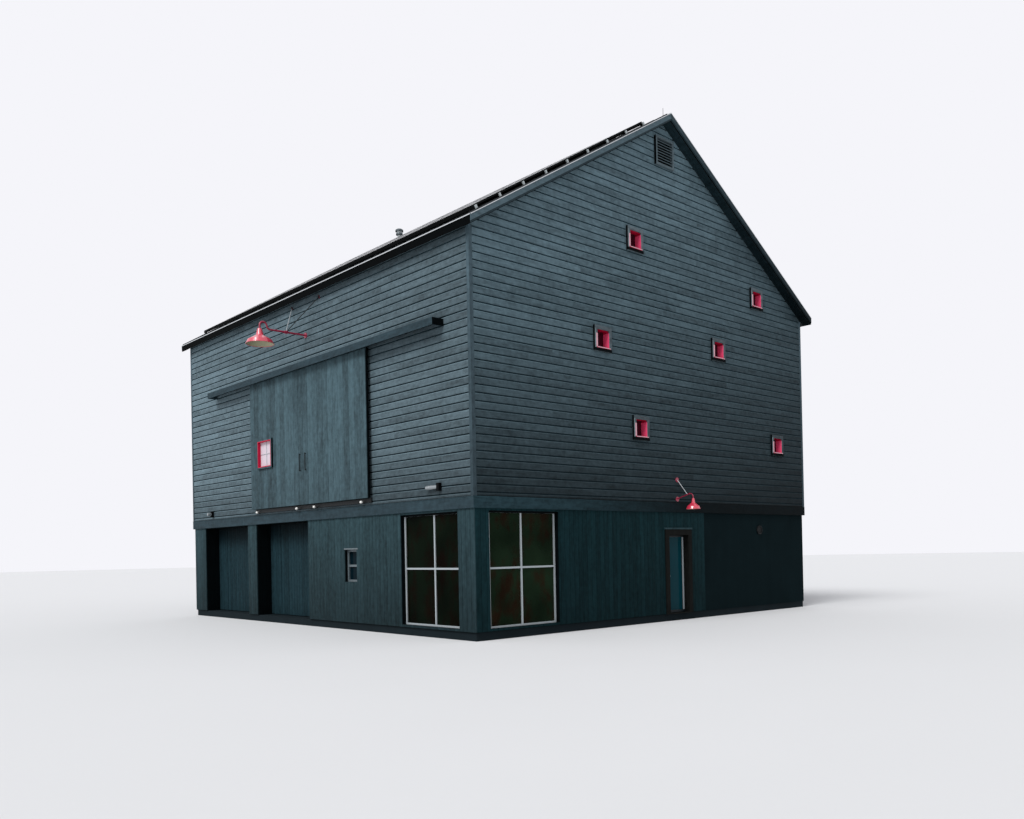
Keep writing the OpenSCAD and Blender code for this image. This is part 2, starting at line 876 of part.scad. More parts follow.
module window_glass() {
    h = lower_h - corner_sill - corner_head;
    z = slab_h + corner_sill;
    back = lower_setback + bar_recess + bar_t;
    small_s0 = small_s - small_w / 2 + small_bar;
    small_s1 = small_s + small_w / 2 - small_bar;
    small_out = -lower_setback - (small_recess + wall_t) / 2;
    color("#20282c") {
        gable_box(post_gable + bar_frame, corner_gable_end - bar_frame, z, z + h - bar_frame,
            -back - glass_t, -back);
        front_box(post_front + bar_frame, corner_front_end - bar_frame, z, z + h - bar_frame,
            -back - glass_t, -back);
        for (k = [0, 1])
            front_box(small_s0, small_s1, small_z + small_bar + k * (small_h - small_bar) / 2,
                small_z + (k + 1) * (small_h - small_bar) / 2, small_out - glass_t, small_out);
        front_box(leaf_window_s - leaf_window_w / 2, leaf_window_s + leaf_window_w / 2,
            leaf_window_z - leaf_window_h / 2, leaf_window_z + leaf_window_h / 2,
            leaf_gap + leaf_t / 2, leaf_gap + leaf_t / 2 + glass_t);
    }
}

module garage_doors()
    color("#262c30")
        for (s = [garage_s, garage_s + garage_w + garage_pier])
            front_box(s + garage_gap, s + garage_w - garage_gap, slab_h, floor_z,
                -lower_setback - garage_recess - garage_door_t, -lower_setback - garage_recess);

// Knuckle of a door hinge with its flap, the flap between two distances from the pin
module knuckle(z, h, near, far) {
    inner = -lower_setback - entrance_back;
    pin_w = leaf_x + entrance_w;
    translate([-half_w + pin_w, -half_l - inner + pin_back, z])
        cylinder(d = knuckle_d, h = h);
    gable_box(pin_w + near, pin_w + far, z, z + h, inner - flap_t, inner);
}

module door_frame() {
    s0 = door_s;
    s1 = door_s + door_gap_w;
    top = slab_h + door_gap_h;
    lap = door_casing_w - lining_t;
    stop_back = -lower_setback - entrance_front + stop_gap;
    color("#4a4340") {
        difference() {
            gable_box(s0, s1, slab_h, top, -lower_setback - wall_t, -lower_setback + door_casing_out);
            gable_box(s0 + lining_t, s1 - lining_t, slab_h + sill_h, top - lining_t,
                -lower_setback - wall_t - eps, -lower_setback + door_casing_out + eps);
        }
        difference() {
            gable_box(s0 - lap, s1 + lap, slab_h, top + lap, -lower_setback, -lower_setback + door_casing_out);
            gable_box(s0, s1, slab_h - eps, top, -lower_setback - eps, -lower_setback + door_casing_out + eps);
        }
        difference() {
            gable_box(s0, s1, slab_h, top, stop_back, stop_back + stop_d);
            gable_box(s0 + lining_t + stop_w, s1 - lining_t - stop_w, slab_h - eps, top - lining_t - stop_w,
                stop_back - eps, stop_back + stop_d + eps);
        }
        for (k = hinge_at, side = [-1, 1])
            knuckle(entrance_z + k * entrance_h + side * (knuckle_l / 2 + knuckle_gap)
                + (side < 0 ? -knuckle_end : 0), knuckle_end, flap_gap, flap_w);
    }
}

module entrance_door()
    color("#22292d") {
        difference() {
            gable_box(leaf_x, leaf_x + entrance_w, entrance_z, entrance_z + entrance_h,
                -lower_setback - entrance_back, -lower_setback - entrance_front);
            gable_box(leaf_x + stile_w, leaf_x + entrance_w - stile_w, entrance_z + door_rail_h,
                entrance_z + entrance_h - door_head_h,
                -lower_setback - entrance_back - eps, -lower_setback - entrance_front + eps);
        }
        for (k = hinge_at)
            knuckle(entrance_z + k * entrance_h - knuckle_l / 2, knuckle_l, -flap_w, 0);
    }

module entrance_door_glass()
    color("#2f6f7a")
        gable_box(leaf_x + stile_w, leaf_x + entrance_w - stile_w, entrance_z + door_rail_h,
            entrance_z + entrance_h - door_head_h,
            -lower_setback - (entrance_front + entrance_back + glass_t) / 2,
            -lower_setback - (entrance_front + entrance_back - glass_t) / 2);

module entrance_door_handle() {
    lever_l = 120;
    lever_d = 18;
    rose_d = 50;
    rose_t = 8;
    neck = 34;
    color("#9aa0a3")
        for (side = [0, 1])
            on_gable(leaf_x + stile_w / 2, slab_h + sill_h + lever_h,
                side == 0 ? -lower_setback - entrance_front : -lower_setback - entrance_back)
                mirror([0, side, 0]) {
                    rotate([90, 0, 0])
                        cylinder(d = rose_d, h = rose_t);
                    rotate([90, 0, 0])
                        cylinder(d = lever_d, h = neck);
                    translate([-lever_d / 2, -neck, 0])
                        rotate([0, 90, 0])
                            cylinder(d = lever_d, h = lever_l);
                }
}

// Arc of round pipe in the XZ plane, from one angle to another
module pipe_arc(r, d, a0, a1)
    rotate([90, 0, 0])
        rotate([0, 0, a0])
            rotate_extrude(angle = a1 - a0)
                translate([r, 0])
                    circle(d = d);

// Shade with its rim at the bottom: steep lip, wide slope and steep neck, turned about its axis
module shade(rim_d, neck, h, t) {
    r = rim_d / 2;
    outer = [[r, 0], [r * shade_lip[0], h * shade_lip[1]],
        [r * shade_foot[0], h * shade_foot[1]], [neck / 2, h]];
    inner = [for (i = [3 : -1 : 0]) [outer[i][0] - t, outer[i][1] - (i > 0 ? t : 0)]];
    rotate_extrude()
        polygon(concat(outer, inner));
    translate([0, 0, h - t])
        cylinder(d = neck - t, h = t);
}

module barn_lamp_arm() {
    r = lamp_bend;
    over_x = lamp_reach - r;
    rise = 0.75 * r;
    turn = asin((r - rise) / (2 * r));
    up_x = over_x - 2 * r * cos(turn);
    plate_d = 150;
    plate_t = 40;
    collar_d = 80;
    color("#c4283c")
        on_front(leaf_mid + lamp_off, lamp_z, 0)
            rotate([0, 0, -90]) {
                rotate([0, 90, 0])
                    cylinder(d = plate_d, h = plate_t);
                rotate([0, 90, 0])
                    cylinder(d = lamp_pipe_d, h = up_x);
                translate([up_x, 0, r])
                    pipe_arc(r, lamp_pipe_d, -90, -turn);
                translate([over_x, 0, rise])
                    pipe_arc(r, lamp_pipe_d, 0, 180 - turn);
                translate([lamp_reach, 0, rise - lamp_drop])
                    cylinder(d = lamp_pipe_d, h = lamp_drop);
                translate([stay_reach - collar_d / 2, 0, 0])
                    rotate([0, 90, 0])
                        cylinder(d = collar_d, h = collar_d);
                for (k = [-1, 1]) {
                    bar([stay_reach, 0, 0], [20, k * stay_side, stay_up], stay_d);
                    translate([0, k * stay_side, stay_up])
                        rotate([0, 90, 0])
                            cylinder(d = collar_d, h = 32);
                }
            }
}

module barn_lamp_shade()
    color("#d5293f")
        on_front(leaf_mid + lamp_off, lamp_z + 0.75 * lamp_bend - lamp_drop - shade_h, lamp_reach)
            shade(shade_d, neck_d, shade_h, shade_t);

module door_lamp_arm() {
    r = door_bend;
    top = door_lamp_z + door_shade_h + door_lamp_drop;
    cx = door_lamp_reach - r;
    sx = cx - r * sin(door_arm_rise);
    sz = top + r * cos(door_arm_rise);
    plate_z = sz - sx * tan(door_arm_rise);
    plate_d = 130;
    plate_t = 30;
    sleeve = 14;
    way = [cos(door_arm_rise), 0, sin(door_arm_rise)];
    rod_x = 0.8 * cx;
    color("#c4283c")
        on_gable(door_lamp_w, 0, 0)
            rotate([0, 0, -90]) {
                translate([0, 0, plate_z])
                    rotate([0, 90, 0])
                        cylinder(d = plate_d, h = plate_t);
                bar([door_pipe_d / 2, 0, plate_z + door_pipe_d / 2 * tan(door_arm_rise)],
                    [sx, 0, sz] - way, door_pipe_d);
                bar([sx, 0, sz] - sleeve * way, [sx, 0, sz] + sleeve * way, door_pipe_d + 10);
                translate([cx, 0, top])
                    pipe_arc(r, door_pipe_d, 0, 90 + door_arm_rise);
                translate([door_lamp_reach, 0, top - door_lamp_drop])
                    cylinder(d = door_pipe_d, h = door_lamp_drop);
                translate([0, 0, plate_z + door_rod_up])
                    rotate([0, 90, 0])
                        cylinder(d = plate_d, h = plate_t);
                bar([plate_t / 2, 0, plate_z + door_rod_up],
                    [rod_x, 0, plate_z + rod_x * tan(door_arm_rise)], stay_d * 0.75);
            }
}

module door_lamp_shade()
    color("#d5293f")
        on_gable(door_lamp_w, door_lamp_z, door_lamp_reach)
            shade(door_shade_d, 2 * door_pipe_d, door_shade_h, shade_t * 0.7);

module lamp_arms() {
    barn_lamp_arm();
    door_lamp_arm();
}

module lamp_shades() {
    barn_lamp_shade();
    door_lamp_shade();
}

// Bulb with its holder, hung from the point where the shade closes
module bulb(d, l) {
    translate([0, 0, -l])
        cylinder(d = d * 0.55, h = l);
    translate([0, 0, -l])
        sphere(d = d);
}

module lamp_bulbs()
    color("#f2efe4") {
        on_front(leaf_mid + lamp_off, lamp_z + 0.75 * lamp_bend - lamp_drop - shade_t, lamp_reach)
            bulb(75, shade_h * 0.62);
        on_gable(door_lamp_w, door_lamp_z + door_shade_h - shade_t * 0.7, door_lamp_reach)
            bulb(50, door_shade_h * 0.6);
    }

// Flood light on the front: base on the wall, and a round head turned away from the wall by an angle
module flood_light(s, up, head_l, turn) {
    base_l = 70;
    base_h = 170;
    base_out = 110;
    head_d = 130;
    z = floor_z + up;
    front_box(s, s + base_l, z - base_h / 2, z + base_h / 2, 0, base_out);
    translate([-half_w - base_out * 0.65, -half_l + s + base_l / 2, z])
        rotate([-90, 0, turn])
            cylinder(d = head_d, h = head_l);
}

module flood_lights()
    color("#c9ccce") {
        flood_light(flood_near, flood_near_up, flood_near_l, 0);
        flood_light(building_l - flood_far, flood_far_up, flood_far_l, flood_turn);
    }

module solar_panels()
    color("#10161c")
        on_front_slope()
            for (i = [0 : module_rows - 1], j = [0 : module_cols - 1])
                translate([array_u + i * row_pitch, array_in + j * col_pitch, foot_h + rail_h])
                    cube([row_pitch - module_gap, col_pitch - module_gap, module_t]);

module panel_rails() {
    step = (array_l - foot_w) / (foot_n - 1);
    color("#6d7276")
        on_front_slope()
            for (i = [0 : module_rows])
                translate([min(max(array_u + i * row_pitch - (module_gap + rail_w) / 2, array_u),
                    array_u + array_h - rail_w), array_in, 0]) {
                    translate([0, -rail_end, foot_h])
                        cube([rail_w, array_l + 2 * rail_end, rail_h]);
                    for (j = [0 : foot_n - 1])
                        translate([0, j * step, foot_seat])
                            cube([rail_w, foot_w, foot_h + rail_h / 2]);
                }
}

// Vent pipe with a boot on the roof, a flared collar and a cap
module vent_pipe()
    color("#2a2e31")
        difference() {
            translate([-pipe_x, half_l - pipe_far, roof_top(pipe_x)]) {
                translate([0, 0, -pipe_boot])
                    cylinder(d = pipe_d, h = pipe_boot + pipe_up - pipe_cap_h);
                translate([0, 0, -pipe_boot])
                    cylinder(d1 = 3 * pipe_d, d2 = pipe_d, h = 2 * pipe_boot - 30);
                translate([0, 0, pipe_up - pipe_cap_h])
                    cylinder(d1 = pipe_cap_d, d2 = pipe_cap_d * 0.6, h = pipe_cap_h);
                translate([0, 0, pipe_up - 2 * pipe_cap_h])
                    cylinder(d = pipe_cap_d, h = pipe_cap_h + eps);
                translate([0, 0, pipe_up - 3 * pipe_cap_h - pipe_cap_gap])
                    cylinder(d1 = pipe_d, d2 = pipe_cap_d * 0.8, h = pipe_cap_h);
            }
            across(-edge_y, edge_y)
                polygon([[-edge_x, 0], [0, 0], [0, ridge_z], [-edge_x, eave_z]]);
        }

module wall_vent()
    color("#15181a")
        translate([wall_vent_x, -low_l, wall_vent_z])
            rotate([90, 0, 0])
                difference() {
                    cylinder(d = wall_vent_d, h = 40);
                    translate([0, 0, 15])
                        cylinder(d = wall_vent_d - 30, h = 40);
                }

foundation_slab();
foundation_wall();
front_lower_wall();
corner_post();
garage_piers();
gable_lower_wall_left();
gable_lower_wall_right();
gable_lower_wall_strips();
upper_floor();
front_wall();
back_wall();
gable_wall();
far_gable_wall();
front_roof();
back_roof();
ridge_cap();
roof_edge_boards();
corner_boards();
belt_board();
sliding_door_left();
sliding_door_right();
sliding_door_handles();
track_hood();
door_track();
door_guides();
gable_window_casings();
gable_window_liners();
gable_window_glass();
louvre_vents();
corner_window_frames();
small_window_frames();
window_glass();
garage_doors();
door_frame();
entrance_door();
entrance_door_glass();
entrance_door_handle();
lamp_arms();
lamp_shades();
lamp_bulbs();
flood_lights();
solar_panels();
panel_rails();
vent_pipe();
wall_vent();
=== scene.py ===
import math
import random

import bmesh
import bpy
from bpy.props import FloatProperty, FloatVectorProperty, IntProperty, PointerProperty
from mathutils import Matrix, Vector


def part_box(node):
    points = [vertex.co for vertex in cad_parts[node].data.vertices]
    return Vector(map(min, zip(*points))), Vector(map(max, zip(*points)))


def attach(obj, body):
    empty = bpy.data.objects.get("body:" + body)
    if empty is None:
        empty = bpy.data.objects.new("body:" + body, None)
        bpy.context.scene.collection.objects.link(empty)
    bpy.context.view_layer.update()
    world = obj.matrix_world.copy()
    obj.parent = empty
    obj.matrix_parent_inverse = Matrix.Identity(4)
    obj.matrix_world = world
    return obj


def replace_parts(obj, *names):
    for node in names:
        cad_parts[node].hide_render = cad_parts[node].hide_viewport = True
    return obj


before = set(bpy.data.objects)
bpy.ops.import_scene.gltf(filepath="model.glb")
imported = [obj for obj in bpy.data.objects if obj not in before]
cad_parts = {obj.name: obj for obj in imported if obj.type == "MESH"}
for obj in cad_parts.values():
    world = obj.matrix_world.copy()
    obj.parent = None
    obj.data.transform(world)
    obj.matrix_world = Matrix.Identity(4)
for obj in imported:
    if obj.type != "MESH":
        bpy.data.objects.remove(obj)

bl_info = {
    "name": "Dark Timber Barn",
    "version": (1, 0, 0),
    "blender": (4, 5, 0),
    "location": "3D View > Sidebar > Barn",
    "description": "Boards, roofing, glazing, lamps and a studio stage for a dark timber barn",
    "category": "Add Mesh",
}

UP = Vector((0, 0, 1))
IMAGE_SIZE = (1024, 819)
# Space between two solar modules, and between the butted ends of two boards.
MODULE_GAP = 0.020
BUTT_GAP = 0.001
# Shortest board at the end of a run, narrowest course, and shortest piece that is cut at all.
SHORTEST_END = 0.6
NARROWEST_COURSE = 0.02
SHORTEST_CUT = 0.01
# Lift of the tone on a board's sloping upper edge, a painted highlight, and how far a board's tone moves its
# grain.
LIP_HIGHLIGHT = 4.0
GRAIN_SHIFT = 31.7


def extent(node, axis):
    """Lowest and highest coordinate of a CAD node along one axis."""
    low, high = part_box(node)
    return low[axis], high[axis]


def solids(node):
    """Boxes of the separate solids of a CAD node, sorted by their lowest corners."""
    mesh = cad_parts[node].data
    parent = {}

    def find(key):
        while parent[key] != key:
            parent[key] = parent[parent[key]]
            key = parent[key]
        return key

    keys = [tuple(round(c, 4) for c in vertex.co) for vertex in mesh.vertices]
    for key in keys:
        parent.setdefault(key, key)
    for polygon in mesh.polygons:
        first = find(keys[polygon.vertices[0]])
        for index in polygon.vertices[1:]:
            parent[find(keys[index])] = first
    groups = {}
    for key in parent:
        groups.setdefault(find(key), []).append(key)
    boxes = []
    for points in groups.values():
        low = Vector(min(p[i] for p in points) for i in range(3))
        high = Vector(max(p[i] for p in points) for i in range(3))
        boxes.append((low, high))
    return sorted(boxes, key=lambda box: tuple(round(c, 3) for c in box[0]))


def slope_heights():
    """Heights of the front slope's top and underside at its eave edge."""
    near = 1e-4
    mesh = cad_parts["front_roof"].data
    low = extent("front_roof", 0)[0]
    heights = [v.co.z for v in mesh.vertices if v.co.x < low + near]
    return min(heights), max(heights)


HALF_W = -extent("front_wall", 0)[0]
HALF_L = -extent("front_wall", 1)[0]
FLOOR_Z, DECK_Z = extent("upper_floor", 2)
BELT_TOP = extent("belt_board", 2)[1]
SLAB_TOP = extent("foundation_slab", 2)[1]
LOW_X = extent("corner_post", 0)[0]
LOW_Y = extent("corner_post", 1)[0]
EDGE_X = extent("roof_edge_boards", 0)[1]
EDGE_Y = extent("roof_edge_boards", 1)[1]
RIDGE_Z = extent("front_roof", 2)[1]
ROOF_X = -extent("front_roof", 0)[0]
UNDER_Z, EAVE_Z = slope_heights()
SLOPE = (RIDGE_Z - EAVE_Z) / ROOF_X
PITCH = math.atan(SLOPE)


def roof_top(x):
    """Height of the roof's top face at a distance from the middle line."""
    return RIDGE_Z - abs(x) * SLOPE


def roof_under(x):
    """Height of the roof's underside at a distance from the middle line."""
    return roof_top(x) - (EAVE_Z - UNDER_Z)


def under_reach(z):
    """Distance from the middle line at which the roof's underside is at a height."""
    return (roof_under(0) - z) / SLOPE


def plane(origin, along, out):
    """Place on a wall: distance along it, height, and distance out from its face."""
    origin, along, out = Vector(origin), Vector(along), Vector(out)
    return lambda u, z, o: origin + along * u + UP * z + out * o


def front_face(x, start=-HALF_L):
    """Place on a face that looks the way the front does, with distances along Y from a start."""
    return plane((x, start, 0), (0, 1, 0), (-1, 0, 0))


def gable_face(y):
    """Place on a face that looks the way the near gable does, with distances along X."""
    return plane((0, y, 0), (1, 0, 0), (0, -1, 0))


def left_edge(x):
    """Place on the left edge of what stands out from the near gable, with distances against Y."""
    return plane((x, 0, 0), (0, -1, 0), (-1, 0, 0))


front = front_face(-HALF_W)
back = plane((HALF_W, -HALF_L, 0), (0, 1, 0), (1, 0, 0))
gable = gable_face(-HALF_L)
far_gable = plane((0, HALF_L, 0), (1, 0, 0), (0, 1, 0))
low_front = front_face(LOW_X)
low_gable = gable_face(LOW_Y)


def slope_point(side, y, x, out=0.0):
    """Point on a slope: side -1 is the front, x the distance from the middle line, out square to it."""
    return Vector((side * (x + out * math.sin(PITCH)), y, roof_top(x) + out * math.cos(PITCH)))


def on_array(u, v, o):
    """Point of the solar array in its own flat frame, turned into the front slope."""
    return Matrix.Rotation(-PITCH, 3, "Y") @ Vector((u, v, o))


def hex_colour(text):
    """Linear colour of a six-digit sRGB code."""
    parts = [int(text[i:i + 2], 16) / 255 for i in (1, 3, 5)]
    return tuple(p / 12.92 if p <= 0.04045 else ((p + 0.055) / 1.055) ** 2.4 for p in parts)


def length(name, default, description, low=0.0, high=20.0):
    """Property for a length in metres."""
    return FloatProperty(name=name, description=description, default=default, min=low, max=high,
                         unit="LENGTH", precision=4)


def colour(name, text, description):
    """Property for a colour, with its default as a six-digit sRGB code."""
    return FloatVectorProperty(name=name, description=description, default=hex_colour(text),
                               subtype="COLOR", size=3, min=0.0, max=1.0)


class BarnBoards(bpy.types.PropertyGroup):
    """Sizes of the wall boards."""
    exposure: length("Exposure", 0.178, "Height of one course of the level boards")
    first_groove: length("First Groove", 3.205, "Height above the ground of the lowest groove over the belt")
    thickness: length("Thickness", 0.022, "Thickness of the wall boards")
    gap: length("Gap", 0.026, "Width of the groove between two level boards")
    upright_gap: length("Upright Gap", 0.006, "Width of the groove between two upright boards")
    bevel: length("Bevel", 0.004, "Width of the eased edges of a board")
    lip: length("Lip", 0.018, "Width of the sloping upper edge of a level board")
    longest: length("Longest", 4.9, "Longest board that is used")
    shortest: length("Shortest", 2.4, "Shortest board that is used")
    upright_width: length("Upright Width", 0.152, "Width of the upright boards")
    leaf_board: length("Leaf Board", 0.257, "Width of the boards on the sliding leaves")
    belt_facing: length("Belt Facing", 0.006, "Thickness of the boards on the belt board")
    seed: IntProperty(name="Seed", description="Seed of the boards' lengths and tones", default=7)


class BarnRoofing(bpy.types.PropertyGroup):
    """Sizes of the sheet-metal roof and its edges."""
    seam_pitch: length("Seam Pitch", 0.45, "Distance between two standing seams")
    seam_height: length("Seam Height", 0.030, "Height of a standing seam")
    seam_width: length("Seam Width", 0.012, "Thickness of a standing seam")
    flashing: length("Flashing", 0.0025, "Thickness of the edge flashings")
    flashing_top: length("Flashing Top", 0.075, "Width of the flashing that lies on the roof")
    flashing_drop: length("Flashing Drop", 0.017, "Height of the flashing's turned-down lip")
    rake_board: length("Rake Board", 0.150, "Height of the upper of the two rake boards")
    rake_proud: length("Rake Proud", 0.016, "Distance that the upper rake board stands proud")
    soffit_board: length("Soffit Board", 0.085, "Width of one soffit board")


class BarnFittings(bpy.types.PropertyGroup):
    """Sizes of small fittings."""
    stay: length("Stay Sleeve", 0.011, "Radius of the grey sleeves on the lamps' stays")
    stay_reach: length("Stay Reach", 0.610, "Distance of the stays' collar from the wall")
    stay_wall: length("Stay Wall", 0.020, "Distance of the stays' upper ends from the wall")
    anchor: length("Stay Anchor", 0.040, "Radius of the stays' wall anchors")
    lamp_plate: length("Lamp Plate", 0.075, "Radius of the barn lamp's wall plate")
    rod_plate: length("Rod Plate", 0.065, "Radius of the door lamp's wall plates")
    rod_reach: length("Rod Reach", 0.352, "Distance from the wall at which the door lamp's rod ends")
    rod_rise: length("Rod Rise", 0.101, "Height of the rod's lower end above the lower wall plate")
    flood_reach: length("Flood Reach", 0.0715, "Distance of the flood lights' heads from the wall")
    flood_radius: length("Flood Radius", 0.048, "Radius of the flood lights' heads")
    muntin: length("Muntin", 0.018, "Width of the leaf window's thin bars")
    bead: length("Rim Bead", 0.009, "Radius of the rolled rim of a lamp shade")
    shade_skin: length("Shade Skin", 0.0075, "Distance of the shades' lining from their outer face")
    roller: length("Guide Roller", 0.082, "Diameter of the white rollers under the leaves")
    rod_height: length("Rod Height", 0.235, "Height of the lightning rod above the ridge")


class BarnColours(bpy.types.PropertyGroup):
    """Base colours of the finishes."""
    upper_boards: colour("Upper Boards", "#53636a", "Stain of the level boards")
    gable_boards: colour("Gable Boards", "#54676f", "Stain of the near gable's level boards")
    # Partly stain and partly painted shade: made darker than the level boards for the shade the lower front
    # stands in.
    lower_boards: colour("Lower Boards", "#2a3d42", "Stain of the front's upright boards")
    # Painted shade: the front's upright stain made much darker for the shade on the lower gable.
    gable_uprights: colour("Gable Uprights", "#10262a", "Stain of the upright boards on the gable")
    # Painted shade: near black for the shade in the deep garage recesses.
    recess_boards: colour("Recess Boards", "#03080a", "Stain of the garage bays' sides and heads")
    # Partly stain and partly painted shade: darkened for the shade in the recesses.
    garage_boards: colour("Garage Boards", "#1a2d33", "Stain of the garage doors")
    leaf_boards: colour("Leaf Boards", "#3e5259", "Stain of the sliding leaves' boards")
    # Besides the dark layer behind the boards, this is painted shade on the casings' and the louvre's sides,
    # under the casings and at the corner windows' heads, and darkens the hood's end.
    sheathing: colour("Sheathing", "#070c0e", "Dark layer behind the boards, and the trim's dark edges")
    groove: colour("Groove", "#24363d", "Walls seen in the grooves between the level boards")
    trim: colour("Trim", "#2a3a41", "Stain of the hood and the belt board, but for the gable's")
    gable_trim: colour("Gable Trim", "#283d44", "Stain of the belt board on the gable")
    corner_trim: colour("Corner Trim", "#42535b", "Corner boards and the belt board's flashing")
    casing: colour("Casing", "#5a666c", "Stain of the gable windows' casings")
    rake: colour("Rake", "#50626a", "Stain of the upper rake boards")
    # Painted shade: the lower rake boards are dark for the shade under the upper rake board.
    rake_low: colour("Lower Rake", "#2c3a40", "Stain of the lower rake boards")
    louvre: colour("Louvre", "#58666c", "Stain of the louvre vents")
    # Painted light: the casings' left legs, and short strips on the liners' right edges, lighter than the
    # casing on the side the light falls.
    lit_casing: colour("Lit Casing", "#6f7c80", "Left legs of the gable windows' casings")
    # Painted shade and light: lighter than the front's eave near the ridge, fading dark towards the back
    # eave.
    back_eave: colour("Back Eave", "#1d2b30", "Soffits and lower rake boards of the back slope")
    # Painted shade: near black for the shade under the eaves, on the roof edge boards and the front slope's
    # soffits.
    eave: colour("Eave", "#030506", "Roof edge boards and the front slope's soffits")
    bright_metal: colour("Bright Metal", "#c9cdcf", "Edge flashings")
    roofing: colour("Roofing", "#2c3134", "Coated sheet of the roof")
    concrete: colour("Concrete", "#151e22", "Foundation edge")
    # Partly dark paint and partly painted shade: made darker still for the shade the basement wall stands in.
    painted_concrete: colour("Painted Concrete", "#0e1a1d", "Basement wall")
    # Painted shade: near black, since the floor is seen as the garages' ceiling in the shade of the recesses.
    timber: colour("Timber", "#1c1b1a", "Floor inside")
    iron: colour("Iron", "#0d1012", "Black iron")
    # The near barn lamp stay uses this dark steel and the other stay the grey: shaded and lit copies of one
    # metal.
    steel: colour("Steel", "#15191b", "Dark steel of the track, a lamp stay and the lightning rod")
    nylon: colour("Nylon", "#e6e6e2", "Rollers")
    red_wood: colour("Red Wood", "#b8183c", "Painted window liners")
    lit_red: colour("Lit Red", "#f2527c", "Right sides of the gable windows' liners")
    # Painted reflection: the dark red of the liners that show in the gable panes.
    mirror_red: colour("Mirror Red", "#3c0d1c", "Gable panes, in which the red liners show")
    small_pane: colour("Small Pane", "#07181f", "Panes of the small window")
    # Painted light: the liners' red made pale where light falls on their front edges and sill noses.
    lit_liner_red: colour("Lit Liner Red", "#dba9b4", "Front edges of the window liners")
    frame_grey: colour("Frame Grey", "#a3abaf", "Frames of the corner windows, bars of the leaf window")
    small_frame: colour("Small Frame", "#5f6a6f", "Frame of the small window")
    vent_dark: colour("Vent Dark", "#4a5459", "Caps of the roof vent")
    # Also the painted highlight along the solar array's near edge.
    vent_light: colour("Vent Light", "#b4bcbd", "Collars of the roof vent and clamps of the modules")
    # Painted reflection: warm patches that stand for what the panes reflect.
    reflected_brown: colour("Reflected Brown", "#170f08", "Warm patches on the dark panes")
    # Partly the glass and partly painted reflection: a dark green.
    glass: colour("Glass", "#0f1a10", "Dark panes")
    pale_pane: colour("Pale Pane", "#cfc3cc", "Pane of the sliding leaf's window")
    teal_glass: colour("Teal Glass", "#08363f", "Pane of the entrance door")
    casing_brown: colour("Casing Brown", "#151615", "Casing of the entrance door")
    entrance: colour("Entrance", "#111b20", "Leaf of the entrance door")
    lamp_red: colour("Lamp Red", "#c9304a", "Enamel of the lamps' shades")
    # Painted shade: a darker copy of the shades' red enamel for the shade on the arms.
    arm_red: colour("Arm Red", "#8e1c3a", "Enamel of the lamps' arms")
    # On the far barn lamp stay, a lit copy of the near stay's dark steel; also the door lamp's rod.
    stay_grey: colour("Stay Grey", "#a4aaad", "Stays of the lamps")
    lamp_inside: colour("Lamp Inside", "#a5a283", "Inside of the shades")
    bulb: colour("Bulb", "#f1ead8", "Bulbs")
    flood_grey: colour("Flood Grey", "#8b9295", "Heads of the flood lights, and the entrance's handle")
    cells: colour("Cells", "#0b1119", "Solar cells")
    module_black: colour("Module Black", "#060809", "Modules' frames and rails, flood lights' bases")
    module_rim: FloatVectorProperty(name="Module Rim", description="Rim of a solar module under its glass",
                                    default=(0.011, 0.012, 0.013), subtype="COLOR", size=3, min=0.0, max=1.0)
    aluminium: colour("Aluminium", "#8e9497", "Fine lines between the solar cells")
    floor: colour("Floor", "#d9dadb", "Studio floor")


class BarnStage(bpy.types.PropertyGroup):
    """Camera and light of the studio."""
    eye: FloatVectorProperty(name="Eye", description="Place of the camera",
                             default=(-18.919, -22.015, 1.914), subtype="TRANSLATION", size=3)
    yaw: FloatProperty(name="Yaw", description="Turn of the view from the long side",
                       default=math.radians(42.234), subtype="ANGLE")
    tilt: FloatProperty(name="Tilt", description="Rise of the view", default=math.radians(0.372),
                        subtype="ANGLE")
    roll: FloatProperty(name="Roll", description="Roll of the camera", default=math.radians(-1.156),
                        subtype="ANGLE")
    focal_px: FloatProperty(name="Focal Length", description="Focal length in picture pixels", default=896.78)
    middle_px: FloatVectorProperty(name="Middle", default=(514.32, 545.50), size=2,
                                   description="Point of the picture straight ahead, in pixels")
    sun_turn: FloatProperty(name="Sun Turn", description="Direction of the key light, from -X towards -Y",
                            default=math.radians(12), subtype="ANGLE")
    sun_rise: FloatProperty(name="Sun Rise", description="Height of the key light", default=math.radians(47),
                            subtype="ANGLE")
    sun_width: FloatProperty(name="Sun Width", description="Width of the key light, for soft shadows",
                             default=math.radians(28), subtype="ANGLE")
    sun_strength: FloatProperty(name="Sun Strength", description="Strength of the key light", default=2.5)
    sky_strength: FloatProperty(name="Sky Strength", description="Strength of the soft light", default=0.58)
    backdrop_strength: FloatProperty(name="Backdrop Strength", description="Strength of the visible backdrop",
                                     default=0.956)
    sky_colour: FloatVectorProperty(name="Sky Colour", description="Colour of soft light and backdrop",
                                    default=(0.955, 0.955, 1.0), subtype="COLOR", size=3, min=0.0, max=1.0)
    floor_size: length("Floor Size", 160.0, "Radius of the floor", high=1000.0)


